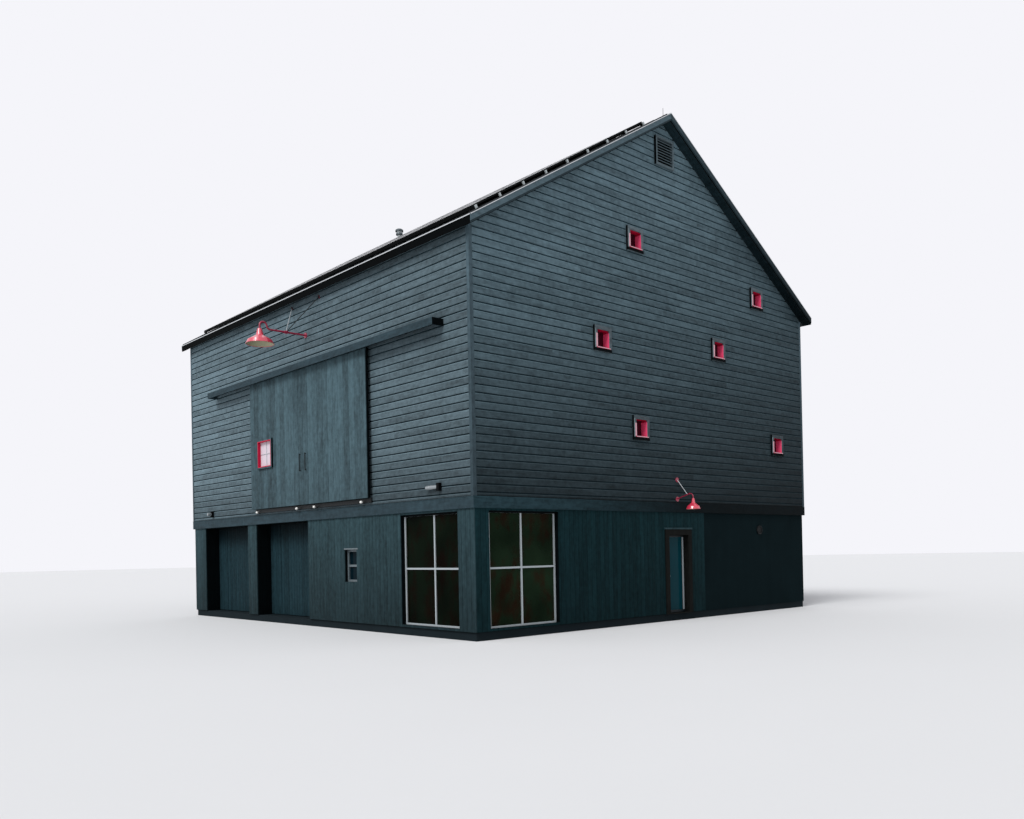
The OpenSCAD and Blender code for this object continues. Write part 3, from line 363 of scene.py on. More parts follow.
class Shader:
    """Node tree of one material, with short calls for adding and joining nodes."""

    def __init__(self):
        self.material = bpy.data.materials.new("barn_finish")
        self.material.use_nodes = True
        self.tree = self.material.node_tree
        self.surface = self.tree.nodes["Principled BSDF"]
        self.place = self.add("ShaderNodeTexCoord").outputs["Object"]

    def add(self, kind, inputs=None, **settings):
        """New node with its settings, and with values or links on its inputs."""
        node = self.tree.nodes.new(kind)
        for key, value in settings.items():
            setattr(node, key, value)
        for key, value in (inputs or {}).items():
            self.put(node.inputs[key], value)
        return node

    def put(self, socket, value):
        """Value on a socket, or a link to it."""
        if isinstance(value, bpy.types.NodeSocket):
            self.tree.links.new(value, socket)
        else:
            socket.default_value = value

    def math(self, operation, a, b=0.0, c=0.0):
        """Output of one arithmetic node."""
        node = self.add("ShaderNodeMath", operation=operation)
        for socket, value in zip(node.inputs, (a, b, c)):
            self.put(socket, value)
        return node.outputs[0]

    def stretched(self, scale, shift=None):
        """Object coordinates scaled on each axis, shifted by an offset that differs from board to board."""
        vector = self.add("ShaderNodeVectorMath", {0: self.place, 1: scale}, operation="MULTIPLY").outputs[0]
        if shift is None:
            return vector
        spread = self.add("ShaderNodeVectorMath", {0: shift}, operation="SCALE")
        spread.inputs["Scale"].default_value = GRAIN_SHIFT
        moved = self.add("ShaderNodeVectorMath", {0: vector, 1: spread.outputs[0]}, operation="ADD")
        return moved.outputs[0]

    def noise(self, vector, scale, detail=4.0, rough=0.55):
        """Cloudy noise from 0 to 1."""
        node = self.add("ShaderNodeTexNoise", {"Vector": vector, "Scale": scale, "Detail": detail,
                                               "Roughness": rough})
        return node.outputs["Fac"]

    def shade(self, colour, terms, fades=()):
        """Base colour with its lightness moved by (factor, amount) pairs about a middle of 0.5.

        A fade (axis, start, end, first, last) multiplies the lightness by a factor that runs from first
        to last between two places along an axis."""
        value = 1.0
        for factor, amount in terms:
            value = self.math("MULTIPLY_ADD", self.math("SUBTRACT", factor, 0.5), amount, value)
        for axis, start, end, first, last in fades:
            where = self.add("ShaderNodeSeparateXYZ", {0: self.place}).outputs[axis]
            ramp = self.add("ShaderNodeMapRange", {"Value": where, "From Min": start, "From Max": end,
                                                   "To Min": first, "To Max": last})
            value = self.math("MULTIPLY", value, ramp.outputs[0])
        node = self.add("ShaderNodeHueSaturation", {"Color": (*colour, 1.0), "Value": value})
        self.put(self.surface.inputs["Base Color"], node.outputs["Color"])
        return node.outputs["Color"]

    def bump(self, height, strength, distance):
        """Fine relief from a height."""
        node = self.add("ShaderNodeBump", {"Height": height, "Strength": strength, "Distance": distance})
        self.put(self.surface.inputs["Normal"], node.outputs["Normal"])

    def mix(self, factor, first, second):
        """Output of a colour that goes from a first to a second by a factor."""
        node = self.add("ShaderNodeMix", data_type="RGBA")
        for key, value in (("Factor", factor), ("A", first), ("B", second)):
            self.put(node.inputs[key], value)
        return node.outputs["Result"]

    def set(self, **values):
        """Values or links on the surface's own inputs."""
        for key, value in values.items():
            self.put(self.surface.inputs[key.replace("_", " ")], value)

    def reflect(self, mirror):
        """How strongly the surface reflects."""
        self.surface.inputs["Specular IOR Level"].default_value = mirror


def board_tone(shader):
    """Tone of a board from -1 to 1, kept on its faces, with a painted highlight's lift on the upper edges of
    level boards, and the same moved to 0 to 1.
    """
    tone = shader.add("ShaderNodeAttribute", attribute_name="tone").outputs["Fac"]
    return tone, shader.math("MULTIPLY_ADD", tone, 0.5, 0.5)


def wood(colour, upright=False, spread=0.35, stain=1.0, rough=0.66, grain=0.5, bump=0.35, mirror=0.10,
         fades=()):
    """Stained boards: long grain, blotchy stain, a tone of its own for each board, and fades by place that
    paint shade and light.
    """
    shader = Shader()
    tone, lift = board_tone(shader)
    along, cross = 0.45, 4.2
    scale = (cross, cross, along) if upright else (along, along, cross)
    broad = (2.4, 2.4, 0.7) if upright else (0.8, 0.8, 2.2)
    fibres = shader.noise(shader.stretched(scale, tone), scale=3.2, detail=7.0, rough=0.66)
    fine = tuple(4 * s for s in scale)
    pores = shader.noise(shader.stretched(fine, tone), scale=4.0, detail=4.0, rough=0.6)
    patches = shader.noise(shader.stretched(broad, tone), scale=1.9, detail=6.0, rough=0.68)
    mottle = shader.noise(shader.place, scale=8.5, detail=4.0, rough=0.6)
    shader.shade(colour, [(lift, spread), (fibres, grain * 2), (pores, grain * 1.4), (patches, stain),
                          (mottle, stain)], fades)
    shader.bump(shader.math("MULTIPLY_ADD", fibres, 0.5, pores), strength=bump, distance=0.004)
    shader.set(Roughness=shader.math("MULTIPLY_ADD", fibres, 0.25, rough - 0.12))
    shader.reflect(mirror)
    return shader.material


def coated(colour, rough=0.45, metallic=0.0, coat=0.0, stain=0.10, bump=0.05, grain_scale=6.0, mirror=0.5):
    """Painted or bare metal and plastic with faint unevenness; mirror is how strongly it reflects."""
    shader = Shader()
    cloud = shader.noise(shader.place, scale=grain_scale, detail=5.0, rough=0.6)
    speck = shader.noise(shader.place, scale=grain_scale * 23, detail=3.0, rough=0.5)
    shader.shade(colour, [(cloud, stain), (speck, stain * 0.5)])
    shader.bump(speck, strength=bump, distance=0.002)
    shader.set(Roughness=shader.math("MULTIPLY_ADD", cloud, 0.16, rough - 0.08))
    shader.surface.inputs["Metallic"].default_value = metallic
    shader.surface.inputs["Coat Weight"].default_value = coat
    shader.reflect(mirror)
    return shader.material


def cast_concrete(colour, panel, mirror):
    """Concrete with form panels, pores and run marks."""
    shader = Shader()
    parts = shader.add("ShaderNodeSeparateXYZ", {0: shader.place}).outputs
    around = shader.math("ADD", parts["X"], parts["Y"])
    face = shader.add("ShaderNodeCombineXYZ", {"X": around, "Y": parts["Z"]}).outputs[0]
    joints = shader.add("ShaderNodeTexBrick", {"Vector": face, "Scale": 1.0, "Mortar Size": 0.006,
                                               "Brick Width": panel[0], "Row Height": panel[1]}, offset=0.0)
    cloud = shader.noise(shader.place, scale=1.3, detail=6.0, rough=0.6)
    runs = shader.noise(shader.stretched((5.0, 5.0, 0.35)), scale=1.0, detail=5.0, rough=0.6)
    pores = shader.noise(shader.place, scale=55.0, detail=4.0, rough=0.6)
    shader.shade(colour, [(cloud, 0.55), (runs, 0.35), (pores, 0.25)])
    dents = shader.math("MULTIPLY_ADD", joints.outputs["Fac"], -0.8, pores)
    shader.bump(dents, strength=0.35, distance=0.006)
    shader.set(Roughness=0.85)
    shader.reflect(mirror)
    return shader.material


def pane(colour, alpha=0.97, rough=0.04, tint=0.25, mirror=0.04, patches=None, fades=()):
    """Glass with a slight wave in it; mirror is how strongly it reflects, patches a second colour in it as a
    painted reflection.
    """
    shader = Shader()
    wave = shader.noise(shader.place, scale=1.1, detail=2.0, rough=0.4)
    made = shader.shade(colour, [(wave, tint)], fades)
    if patches:
        cloud = shader.noise(shader.stretched((1.0, 1.0, 0.6)), scale=2.6, detail=5.0, rough=0.6)
        ramp = shader.add("ShaderNodeMapRange", {"Value": cloud, "From Min": 0.46, "From Max": 0.62})
        mixed = shader.mix(ramp.outputs[0], (*colour, 1.0), (*patches, 1.0))
        shader.put(made.node.inputs["Color"], mixed)
    shader.bump(wave, strength=0.04, distance=0.02)
    shader.set(Roughness=rough, Alpha=alpha)
    shader.surface.inputs["IOR"].default_value = 1.5
    shader.reflect(mirror)
    return shader.material


def metal_roofing(colour):
    """Coated sheet with flat oil-canning waves and dust along the slope."""
    shader = Shader()
    waves = shader.noise(shader.stretched((0.6, 2.4, 0.6)), scale=1.6, detail=2.0, rough=0.4)
    dust = shader.noise(shader.stretched((0.7, 6.0, 0.7)), scale=2.0, detail=6.0, rough=0.65)
    shader.shade(colour, [(waves, 0.15), (dust, 0.30)])
    shader.bump(waves, strength=0.25, distance=0.02)
    shader.set(Roughness=shader.math("MULTIPLY_ADD", dust, 0.25, 0.34))
    shader.surface.inputs["Metallic"].default_value = 0.35
    return shader.material


def array_grid():
    """Near corner of the array's lower edge, its size, and the count of rows and columns of modules."""
    modules = solids("solar_panels")
    turn = Matrix.Rotation(PITCH, 3, "Y")
    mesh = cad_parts["solar_panels"].data
    flat = [turn @ v.co for v in mesh.vertices]
    low = Vector(min(p[i] for p in flat) for i in range(3))
    high = Vector(max(p[i] for p in flat) for i in range(3))
    columns = len({round(box[0].y, 2) for box in modules})
    return low, high, len(modules) // columns, columns


def solar_glass(colour, line, rim_colour):
    """Dark cells in a grid under glass, with thin silver lines and a dark rim round each module."""
    shader = Shader()
    low, high, rows, columns = array_grid()
    turned = shader.add("ShaderNodeVectorRotate", {"Vector": shader.place, "Angle": PITCH},
                        rotation_type="Y_AXIS").outputs[0]
    parts = shader.add("ShaderNodeSeparateXYZ", {0: turned}).outputs
    rim_width = 0.014
    cell_share = 0.485
    line_share = 0.55
    edges = None
    cells = None
    for part, axis, count, cell in (("X", 0, rows, 6), ("Y", 1, columns, 12)):
        pitch = (high[axis] - low[axis] + MODULE_GAP) / count
        where = shader.math("DIVIDE", shader.math("SUBTRACT", parts[part], low[axis]), pitch)
        inside = shader.math("DIVIDE", shader.math("FRACT", where), (pitch - MODULE_GAP) / pitch)
        off = shader.math("ABSOLUTE", shader.math("SUBTRACT", inside, 0.5))
        rim = shader.math("GREATER_THAN", off, 0.5 - rim_width / pitch)
        step = shader.math("FRACT", shader.math("MULTIPLY", inside, float(cell)))
        aside = shader.math("ABSOLUTE", shader.math("SUBTRACT", step, 0.5))
        seam = shader.math("GREATER_THAN", aside, cell_share)
        edges = rim if edges is None else shader.math("MAXIMUM", edges, rim)
        cells = seam if cells is None else shader.math("MAXIMUM", cells, seam)
    cloud = shader.noise(shader.place, scale=0.8, detail=3.0, rough=0.5)
    base = shader.shade(colour, [(cloud, 0.3)])
    lined = shader.mix(shader.math("MULTIPLY", cells, line_share), base, (*line, 1.0))
    shader.put(shader.surface.inputs["Base Color"], shader.mix(edges, lined, (*rim_colour, 1.0)))
    shader.set(Roughness=0.2)
    shader.reflect(0.25)
    return shader.material


# Most fades below darken or lighten a finish by place as painted shade and light: walls darker low down and
# towards the gable's back corner, garage doors darker under their heads, the back slope's edges darker
# towards its eave.
FINISHES = {
    # Painted light and shade: level boards lighter towards the far gable, darker just over the belt.
    "upper_boards": lambda c: wood(c.upper_boards, fades=(
        ("Y", -HALF_L, HALF_L, 0.82, 1.26), ("Z", BELT_TOP, BELT_TOP + 1.7, 0.58, 1.0))),
    # Painted shade: the near gable's boards much darker towards the belt and towards the back corner, lighter
    # high up.
    "gable_boards": lambda c: wood(c.gable_boards, mirror=0.05, fades=(
        ("Z", BELT_TOP, RIDGE_Z - 0.8, 0.20, 1.58), ("X", -HALF_W, HALF_W, 1.16, 0.48))),
    # Painted shade: darker towards the foot of the wall.
    "lower_boards": lambda c: wood(c.lower_boards, upright=True, spread=0.3, mirror=0.05, fades=(
        ("Z", SLAB_TOP, FLOOR_Z, 0.5, 1.1),)),
    # Painted shade: darker at the foot and away from the front corner.
    "gable_uprights": lambda c: wood(c.gable_uprights, upright=True, spread=0.3, mirror=0.03, fades=(
        ("Z", SLAB_TOP, FLOOR_Z, 0.8, 1.2), ("X", -HALF_W, -HALF_W + 2.6, 1.25, 0.95))),
    # Painted shade in the garage recesses.
    "recess_boards": lambda c: wood(c.recess_boards, upright=True, mirror=0.03),
    # Painted shade: much darker towards the tops, under the recess heads.
    "garage_boards": lambda c: wood(c.garage_boards, upright=True, spread=0.3, mirror=0.04, fades=(
        ("Z", FLOOR_Z - 0.7, FLOOR_Z, 1.0, 0.2),)),
    "leaf_boards": lambda c: wood(c.leaf_boards, upright=True, spread=0.45, stain=1.2, fades=(
        ("Z", DECK_Z, DECK_Z + 1.6, 0.8, 1.0),)),
    # Painted shade: the grooves darker towards the belt.
    "groove": lambda c: wood(c.groove, mirror=0.03, fades=(("Z", BELT_TOP, EAVE_Z, 0.5, 1.1),)),
    "sheathing": lambda c: wood(c.sheathing, mirror=0.03),
    "trim_level": lambda c: wood(c.trim, spread=0.1),
    # Painted shade: the gable's belt board fades nearly black towards the back corner.
    "gable_trim": lambda c: wood(c.gable_trim, spread=0.1, mirror=0.04, fades=(
        ("X", -HALF_W + 1.0, 1.0, 1.0, 0.10),)),
    # Painted shade: the corner boards darker towards the belt.
    "corner_trim": lambda c: wood(c.corner_trim, upright=True, spread=0.1, fades=(
        ("Z", BELT_TOP, EAVE_Z, 0.55, 1.1),)),
    # Painted shade: the casings darker low down and towards the back corner.
    "casing": lambda c: wood(c.casing, spread=0.1, fades=(
        ("Z", BELT_TOP, EAVE_Z + 1.0, 0.45, 1.1), ("X", -HALF_W, HALF_W, 1.1, 0.7))),
    "rake_boards": lambda c: wood(c.rake, spread=0.1, stain=0.5),
    # Painted shade: a shaded copy of the front's rake stain, fading darker towards the back eave.
    "back_rakes": lambda c: wood(c.rake, spread=0.1, stain=0.5, mirror=0.04, fades=(
        ("X", 0.0, HALF_W, 0.5, 0.16),)),
    # Painted shade under the upper rake boards.
    "rake_low": lambda c: wood(c.rake_low, spread=0.1, stain=0.5),
    "louvre": lambda c: wood(c.louvre, spread=0.1, stain=0.5),
    "lit_casing": lambda c: wood(c.lit_casing, spread=0.1, stain=0.5),
    # Painted shade under the eaves.
    "eave_boards": lambda c: wood(c.eave, spread=0.1, mirror=0.02),
    # Painted shade: darker towards the back eave.
    "back_eave": lambda c: wood(c.back_eave, spread=0.1, mirror=0.02, fades=(
        ("X", 0.0, HALF_W, 1.3, 0.3),)),
    "bright_metal": lambda c: coated(c.bright_metal, rough=0.35, metallic=0.6),
    "roofing": lambda c: metal_roofing(c.roofing),
    "concrete": lambda c: cast_concrete(c.concrete, (2.4, 0.6), mirror=0.08),
    "painted_concrete": lambda c: cast_concrete(c.painted_concrete, (1.2, 0.9), mirror=0.02),
    # Painted shade: the floor seen as the garages' ceiling.
    "timber": lambda c: wood(c.timber, spread=0.2),
    "iron": lambda c: coated(c.iron, rough=0.5, metallic=0.3, bump=0.25, mirror=0.3),
    "steel": lambda c: coated(c.steel, rough=0.5, metallic=0.3, mirror=0.3),
    "nylon": lambda c: coated(c.nylon, rough=0.4, metallic=0.0, coat=0.1),
    "red_wood": lambda c: wood(c.red_wood, stain=0.15, rough=0.42, grain=0.08, bump=0.2),
    "lit_liner_red": lambda c: wood(c.lit_liner_red, stain=0.15, rough=0.5, grain=0.08, bump=0.2),
    "frame_grey": lambda c: coated(c.frame_grey, rough=0.42, metallic=0.2),
    "small_frame": lambda c: coated(c.small_frame, rough=0.5, metallic=0.2),
    # Painted reflection: strong waves and warm patches, much darker on the front's panes than on the gable's.
    "glass": lambda c: pane(c.glass, tint=2.0, mirror=0.01, patches=c.reflected_brown, fades=(
        ("X", LOW_X, LOW_X + 0.4, 0.15, 1.7),)),
    # Painted reflection of the red liners, opaque.
    "gable_glass": lambda c: pane(c.mirror_red, alpha=1.0, mirror=0.1),
    "small_pane": lambda c: pane(c.small_pane, alpha=1.0, mirror=0.02),
    "lit_red": lambda c: wood(c.lit_red, stain=0.15, rough=0.42, grain=0.08, bump=0.2),
    "vent_dark": lambda c: coated(c.vent_dark, rough=0.45, metallic=0.3),
    "vent_light": lambda c: coated(c.vent_light, rough=0.45, metallic=0.3),
    "pale_pane": lambda c: pane(c.pale_pane, alpha=1.0, rough=0.12, tint=0.12),
    "teal_glass": lambda c: pane(c.teal_glass, alpha=0.97),
    "casing_brown": lambda c: wood(c.casing_brown, upright=True, spread=0.1, mirror=0.03),
    "entrance": lambda c: coated(c.entrance, rough=0.5, mirror=0.25),
    "lamp_red": lambda c: coated(c.lamp_red, rough=0.30, metallic=0.0, coat=0.6, stain=0.12, mirror=0.9),
    "arm_red": lambda c: coated(c.arm_red, rough=0.34, metallic=0.0, coat=0.2, stain=0.12),
    "stay_grey": lambda c: coated(c.stay_grey, rough=0.4, metallic=0.3),
    "lamp_inside": lambda c: coated(c.lamp_inside, rough=0.5, metallic=0.0, coat=0.1),
    "bulb": lambda c: coated(c.bulb, rough=0.25, metallic=0.0, coat=0.3),
    "flood_grey": lambda c: coated(c.flood_grey, rough=0.3, metallic=0.3, coat=0.3),
    "cells": lambda c: solar_glass(c.cells, c.aluminium, c.module_rim),
    "module_black": lambda c: coated(c.module_black, rough=0.6, metallic=0.0, mirror=0.06),
    "floor": lambda c: coated(c.floor, rough=0.9, stain=0.02, bump=0.0, grain_scale=0.4),
}

CAD_FINISHES = {
    "foundation_slab": "concrete", "foundation_wall": "painted_concrete", "front_lower_wall": "sheathing",
    "corner_post": "sheathing", "garage_piers": "sheathing", "gable_lower_wall_left": "sheathing",
    "gable_lower_wall_right": "sheathing", "gable_lower_wall_strips": "sheathing",
    "upper_floor": "timber", "front_wall": "groove", "back_wall": "groove", "gable_wall": "groove",
    "far_gable_wall": "groove", "front_roof": "roofing", "back_roof": "roofing", "ridge_cap": "roofing",
    "roof_edge_boards": "eave_boards", "corner_boards": "corner_trim", "belt_board": "gable_trim",
    "sliding_door_left": "sheathing", "sliding_door_right": "sheathing", "sliding_door_handles": "iron",
    "track_hood": "trim_level", "door_track": "steel", "door_guides": "iron",
    "gable_window_casings": "casing", "gable_window_liners": "red_wood",
    "gable_window_glass": "gable_glass", "louvre_vents": "louvre", "corner_window_frames": "frame_grey",
    "small_window_frames": "small_frame", "window_glass": "glass", "garage_doors": "sheathing",
    "door_frame": "casing_brown", "entrance_door": "entrance", "entrance_door_glass": "teal_glass",
    "entrance_door_handle": "flood_grey", "lamp_arms": "arm_red", "lamp_shades": "lamp_red",
    "lamp_bulbs": "bulb", "flood_lights": "flood_grey", "solar_panels": "cells",
    "panel_rails": "module_black", "vent_pipe": "iron", "wall_vent": "iron",
}


def finish(name):
    """Material of a finish, made when it is first asked for."""
    full_name = "barn_" + name
    made = bpy.data.materials.get(full_name)
    if not made:
        made = FINISHES[name](bpy.context.scene.barn_colours)
        made.name = full_name
    return made


class Batch:
    """Closed solids that are gathered into one piece."""

    def __init__(self):
        self.verts = []
        self.faces = []
        self.tones = []

    def add(self, verts, faces, tone):
        """More faces, all of one tone."""
        start = len(self.verts)
        self.verts += [tuple(v) for v in verts]
        self.faces += [tuple(start + i for i in face) for face in faces]
        self.tones += [tone] * len(faces)

    def loft(self, rings, tone=0.0, closed=False, bright=None):
        """Skin over rings of equally many points, with flat ends unless the rings run in a loop.

        The side of the skin whose number is bright has a brighter tone, a painted highlight."""
        n = len(rings[0])
        verts = [point for ring in rings for point in ring]
        steps = len(rings) if closed else len(rings) - 1
        faces = []
        for i in range(steps):
            a, b = i * n, (i + 1) % len(rings) * n
            faces += [(a + k, a + (k + 1) % n, b + (k + 1) % n, b + k) for k in range(n)]
        if not closed:
            faces += [tuple(range(n))[::-1], tuple((len(rings) - 1) * n + k for k in range(n))]
        self.add(verts, faces, tone)
        if bright is not None:
            first = len(self.tones) - len(faces)
            for i in range(steps):
                self.tones[first + i * n + bright] += LIP_HIGHLIGHT

    def box(self, place, u, z, out):
        """Box on a wall between two distances along, two heights and two distances out."""
        self.loft([[place(along, z[j], out[k]) for j, k in ((0, 0), (1, 0), (1, 1), (0, 1))] for along in u])

    def eased_box(self, place, u, z, out, ease, tone=0.0):
        """Box on a wall with its four front edges eased."""
        rings = []
        for depth, inset in ((out[0], 0), (out[1] - ease, 0), (out[1], ease)):
            rings.append([place(a, b, depth) for a, b in (
                (u[0] + inset, z[0] + inset), (u[1] - inset, z[0] + inset),
                (u[1] - inset, z[1] - inset), (u[0] + inset, z[1] - inset))])
        self.loft(rings, tone)

    def frame(self, place, u, z, outline):
        """Frame round an opening, its section a closed outline of (distance from it, distance out) points."""
        self.loft([[place(a + side * d, b + rise * d, out) for d, out in outline]
                   for a, b, side, rise in ((u[0], z[0], -1, -1), (u[1], z[0], 1, -1),
                                            (u[1], z[1], 1, 1), (u[0], z[1], -1, 1))], closed=True)

    def tube(self, start, end, radii, sides):
        """Round bar between two points with (share of the length, radius) steps."""
        steep = 0.9
        axis = (end - start).normalized()
        side = axis.cross(UP) if abs(axis.z) < steep else axis.cross(Vector((1, 0, 0)))
        side.normalize()
        other = axis.cross(side)
        rings = []
        for share, radius in radii:
            middle = start.lerp(end, share)
            angles = [2 * math.pi * k / sides for k in range(sides)]
            rings.append([middle + (side * math.cos(a) + other * math.sin(a)) * radius for a in angles])
        self.loft(rings)

    def turned(self, middle, outline):
        """Closed outline of (radius, height) points turned about an upright axis."""
        sides = 64
        rings = []
        for k in range(sides):
            a = 2 * math.pi * k / sides
            rings.append([middle + Vector((r * math.cos(a), r * math.sin(a), h)) for r, h in outline])
        self.loft(rings, closed=True)

    def piece(self, name, finish_name, slot, body="building", smooth=False):
        """The gathered solids as one piece on a body."""
        sharp = math.radians(35)
        mesh = bpy.data.meshes.new(name)
        mesh.from_pydata(self.verts, [], self.faces)
        tones = mesh.attributes.new("tone", "FLOAT", "FACE")
        tones.data.foreach_set("value", self.tones)
        solid = bmesh.new()
        solid.from_mesh(mesh)
        bmesh.ops.recalc_face_normals(solid, faces=solid.faces)
        solid.to_mesh(mesh)
        solid.free()
        mesh.materials.append(finish(finish_name))
        if smooth:
            mesh.shade_smooth()
            mesh.set_sharp_from_angle(angle=sharp)
        made = bpy.data.objects.new(name, mesh)
        bpy.context.scene.collection.objects.link(made)
        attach(made, body)
        return made


def minus(start, end, cuts):
    """What is left of a run when (start, end) cuts are taken out."""
    runs = [(start, end)]
    for low, high in cuts:
        parts = [part for a, b in runs for part in ((a, min(b, low)), (max(a, high), b))]
        runs = [part for part in parts if part[1] > part[0]]
    return runs


def board(batch, place, course, run, holes, thickness, ease, upright=False, limits=None, tone=0.0):
    """One board on a wall, its edges eased by two widths, notched round holes and cut to limits."""
    low, high = course
    cuts = sorted({low, high} | {edge for hole in holes for edge in hole[2:] if low < edge < high})
    for a, b in zip(cuts, cuts[1:]):
        middle = (a + b) / 2
        inside = [hole[:2] for hole in holes if hole[2] < middle < hole[3]]
        foot = [(a, thickness - ease[0]), (a + ease[0], thickness)] if a == low else [(a, thickness)]
        head = [(b - ease[1], thickness), (b, thickness - ease[1])] if b == high else [(b, thickness)]
        profile = [(a, 0.0), *foot, *head, (b, 0.0)]
        for start, end in minus(*run, inside):
            rings = []
            for at, other in ((start, end), (end, start)):
                ring = []
                for across, out in profile:
                    edge = at
                    if limits and at < other:
                        edge = max(edge, limits(across)[0])
                    elif limits:
                        edge = min(edge, limits(across)[1])
                    ring.append(place(across, edge, out) if upright else place(edge, across, out))
                rings.append(ring)
            reach = limits(middle) if limits else (start, end)
            if min(end, reach[1]) - max(start, reach[0]) > SHORTEST_CUT:
                # A level board's sloping upper edge gets a painted highlight in its tone.
                lip = len(profile) - 3 if b == high and not upright else None
                batch.loft(rings, tone, bright=lip)


def boarding(batch, place, courses, run, holes=(), upright=False, limits=None, seed=0, lengths=True):
    """Courses of boards side by side, with butt joints where a run is longer than a board."""
    sizes = bpy.context.scene.barn_boards
    draw = random.Random(sizes.seed * 100 + seed)
    half = (sizes.upright_gap if upright else sizes.gap) / 2
    ease = (sizes.bevel, sizes.bevel if upright else sizes.lip)
    for low, high in courses:
        joints = [run[0]]
        while lengths and run[1] - joints[-1] > sizes.longest:
            step = draw.uniform(sizes.shortest, sizes.longest)
            joints.append(min(joints[-1] + step, run[1] - SHORTEST_END))
        joints.append(run[1])
        for start, end in zip(joints, joints[1:]):
            tone = draw.uniform(-1, 1)
            trimmed = (start + (BUTT_GAP if start > run[0] else 0), end - (BUTT_GAP if end < run[1] else 0))
            board(batch, place, (low + half, high - half), trimmed, holes, sizes.thickness, ease, upright,
                  limits, tone)


def stops(start, end, step, first):
    """Pairs of neighbouring positions from start to end, a step apart on from a first one between them."""
    points = [start]
    here = first
    while here < end - NARROWEST_COURSE:
        if here > start + NARROWEST_COURSE:
            points.append(here)
        here += step
    points.append(end)
    return list(zip(points, points[1:]))


def even(start, end, width):
    """Pairs of neighbouring positions, all the same distance apart and near a width."""
    count = max(1, round((end - start) / width))
    points = [start + (end - start) * i / count for i in range(count + 1)]
    return list(zip(points, points[1:]))


def hole_in(low, high, axis, zero, shrink=0.0):
    """Hole in a wall from a solid's box: (along, along, height, height), shrunk on each side."""
    return (low[axis] - zero + shrink, high[axis] - zero - shrink, low.z + shrink, high.z - shrink)


def swap(hole):
    """Hole with its run and its course exchanged, for upright boards."""
    return (*hole[2:], *hole[:2])


def leaf_liner():
    """Box of the liner in the sliding leaf's window."""
    return next(box for box in solids("small_window_frames") if box[0].z > FLOOR_Z)


class BARN_OT_frame_finishes(bpy.types.Operator):
    """Give every solid of the frame its finish"""
    bl_idname = "barn.frame_finishes"
    bl_label = "Frame Finishes"
    bl_options = {"REGISTER", "UNDO"}

    def execute(self, context):
        for node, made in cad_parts.items():
            made.data.materials.clear()
            made.data.materials.append(finish(CAD_FINISHES[node]))
        return {"FINISHED"}


class BARN_OT_upper_boards(bpy.types.Operator):
    """Lay the level boards of the four upper walls"""
    bl_idname = "barn.upper_boards"
    bl_label = "Upper Boards"
    bl_options = {"REGISTER", "UNDO"}

    def execute(self, context):
        sizes = context.scene.barn_boards
        side_lap, level_lap = 0.16, 0.09
        casing_lap, louvre_lap = 0.035, 0.03
        side_top = roof_under(HALF_W + sizes.thickness)
        doors = [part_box("sliding_door_left"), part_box("sliding_door_right")]
        low_y, high_y = min(d[0].y for d in doors), max(d[1].y for d in doors)
        doorway = (low_y + HALF_L + side_lap, high_y + HALF_L - side_lap,
                   doors[0][0].z + level_lap, doors[0][1].z - level_lap)
        side = stops(BELT_TOP, side_top, sizes.exposure, sizes.first_groove)
        for name, place, holes, seed in (("front_boards", front, [doorway], 1), ("back_boards", back, [], 2)):
            batch = Batch()
            boarding(batch, place, side, (0.0, 2 * HALF_L), holes, seed=seed)
            batch.piece(name, "upper_boards", "dark_boards")
        vents = solids("louvre_vents")
        windows = [hole_in(*box, 0, 0.0, casing_lap) for box in solids("gable_window_casings")]
        courses = stops(BELT_TOP, roof_under(0), sizes.exposure, sizes.first_groove)
        reach = HALF_W + sizes.thickness

        def limits(z):
            return -min(reach, under_reach(z)), min(reach, under_reach(z))

        for name, place, holes, vent, seed, finish_name in (
                ("gable_boards", gable, windows, vents[0], 3, "gable_boards"),
                ("far_gable_boards", far_gable, [], vents[-1], 4, "upper_boards")):
            batch = Batch()
            boarding(batch, place, courses, (-reach, reach), holes + [hole_in(*vent, 0, 0.0, louvre_lap)],
                     limits=limits, seed=seed)
            batch.piece(name, finish_name, "dark_boards")
        return {"FINISHED"}


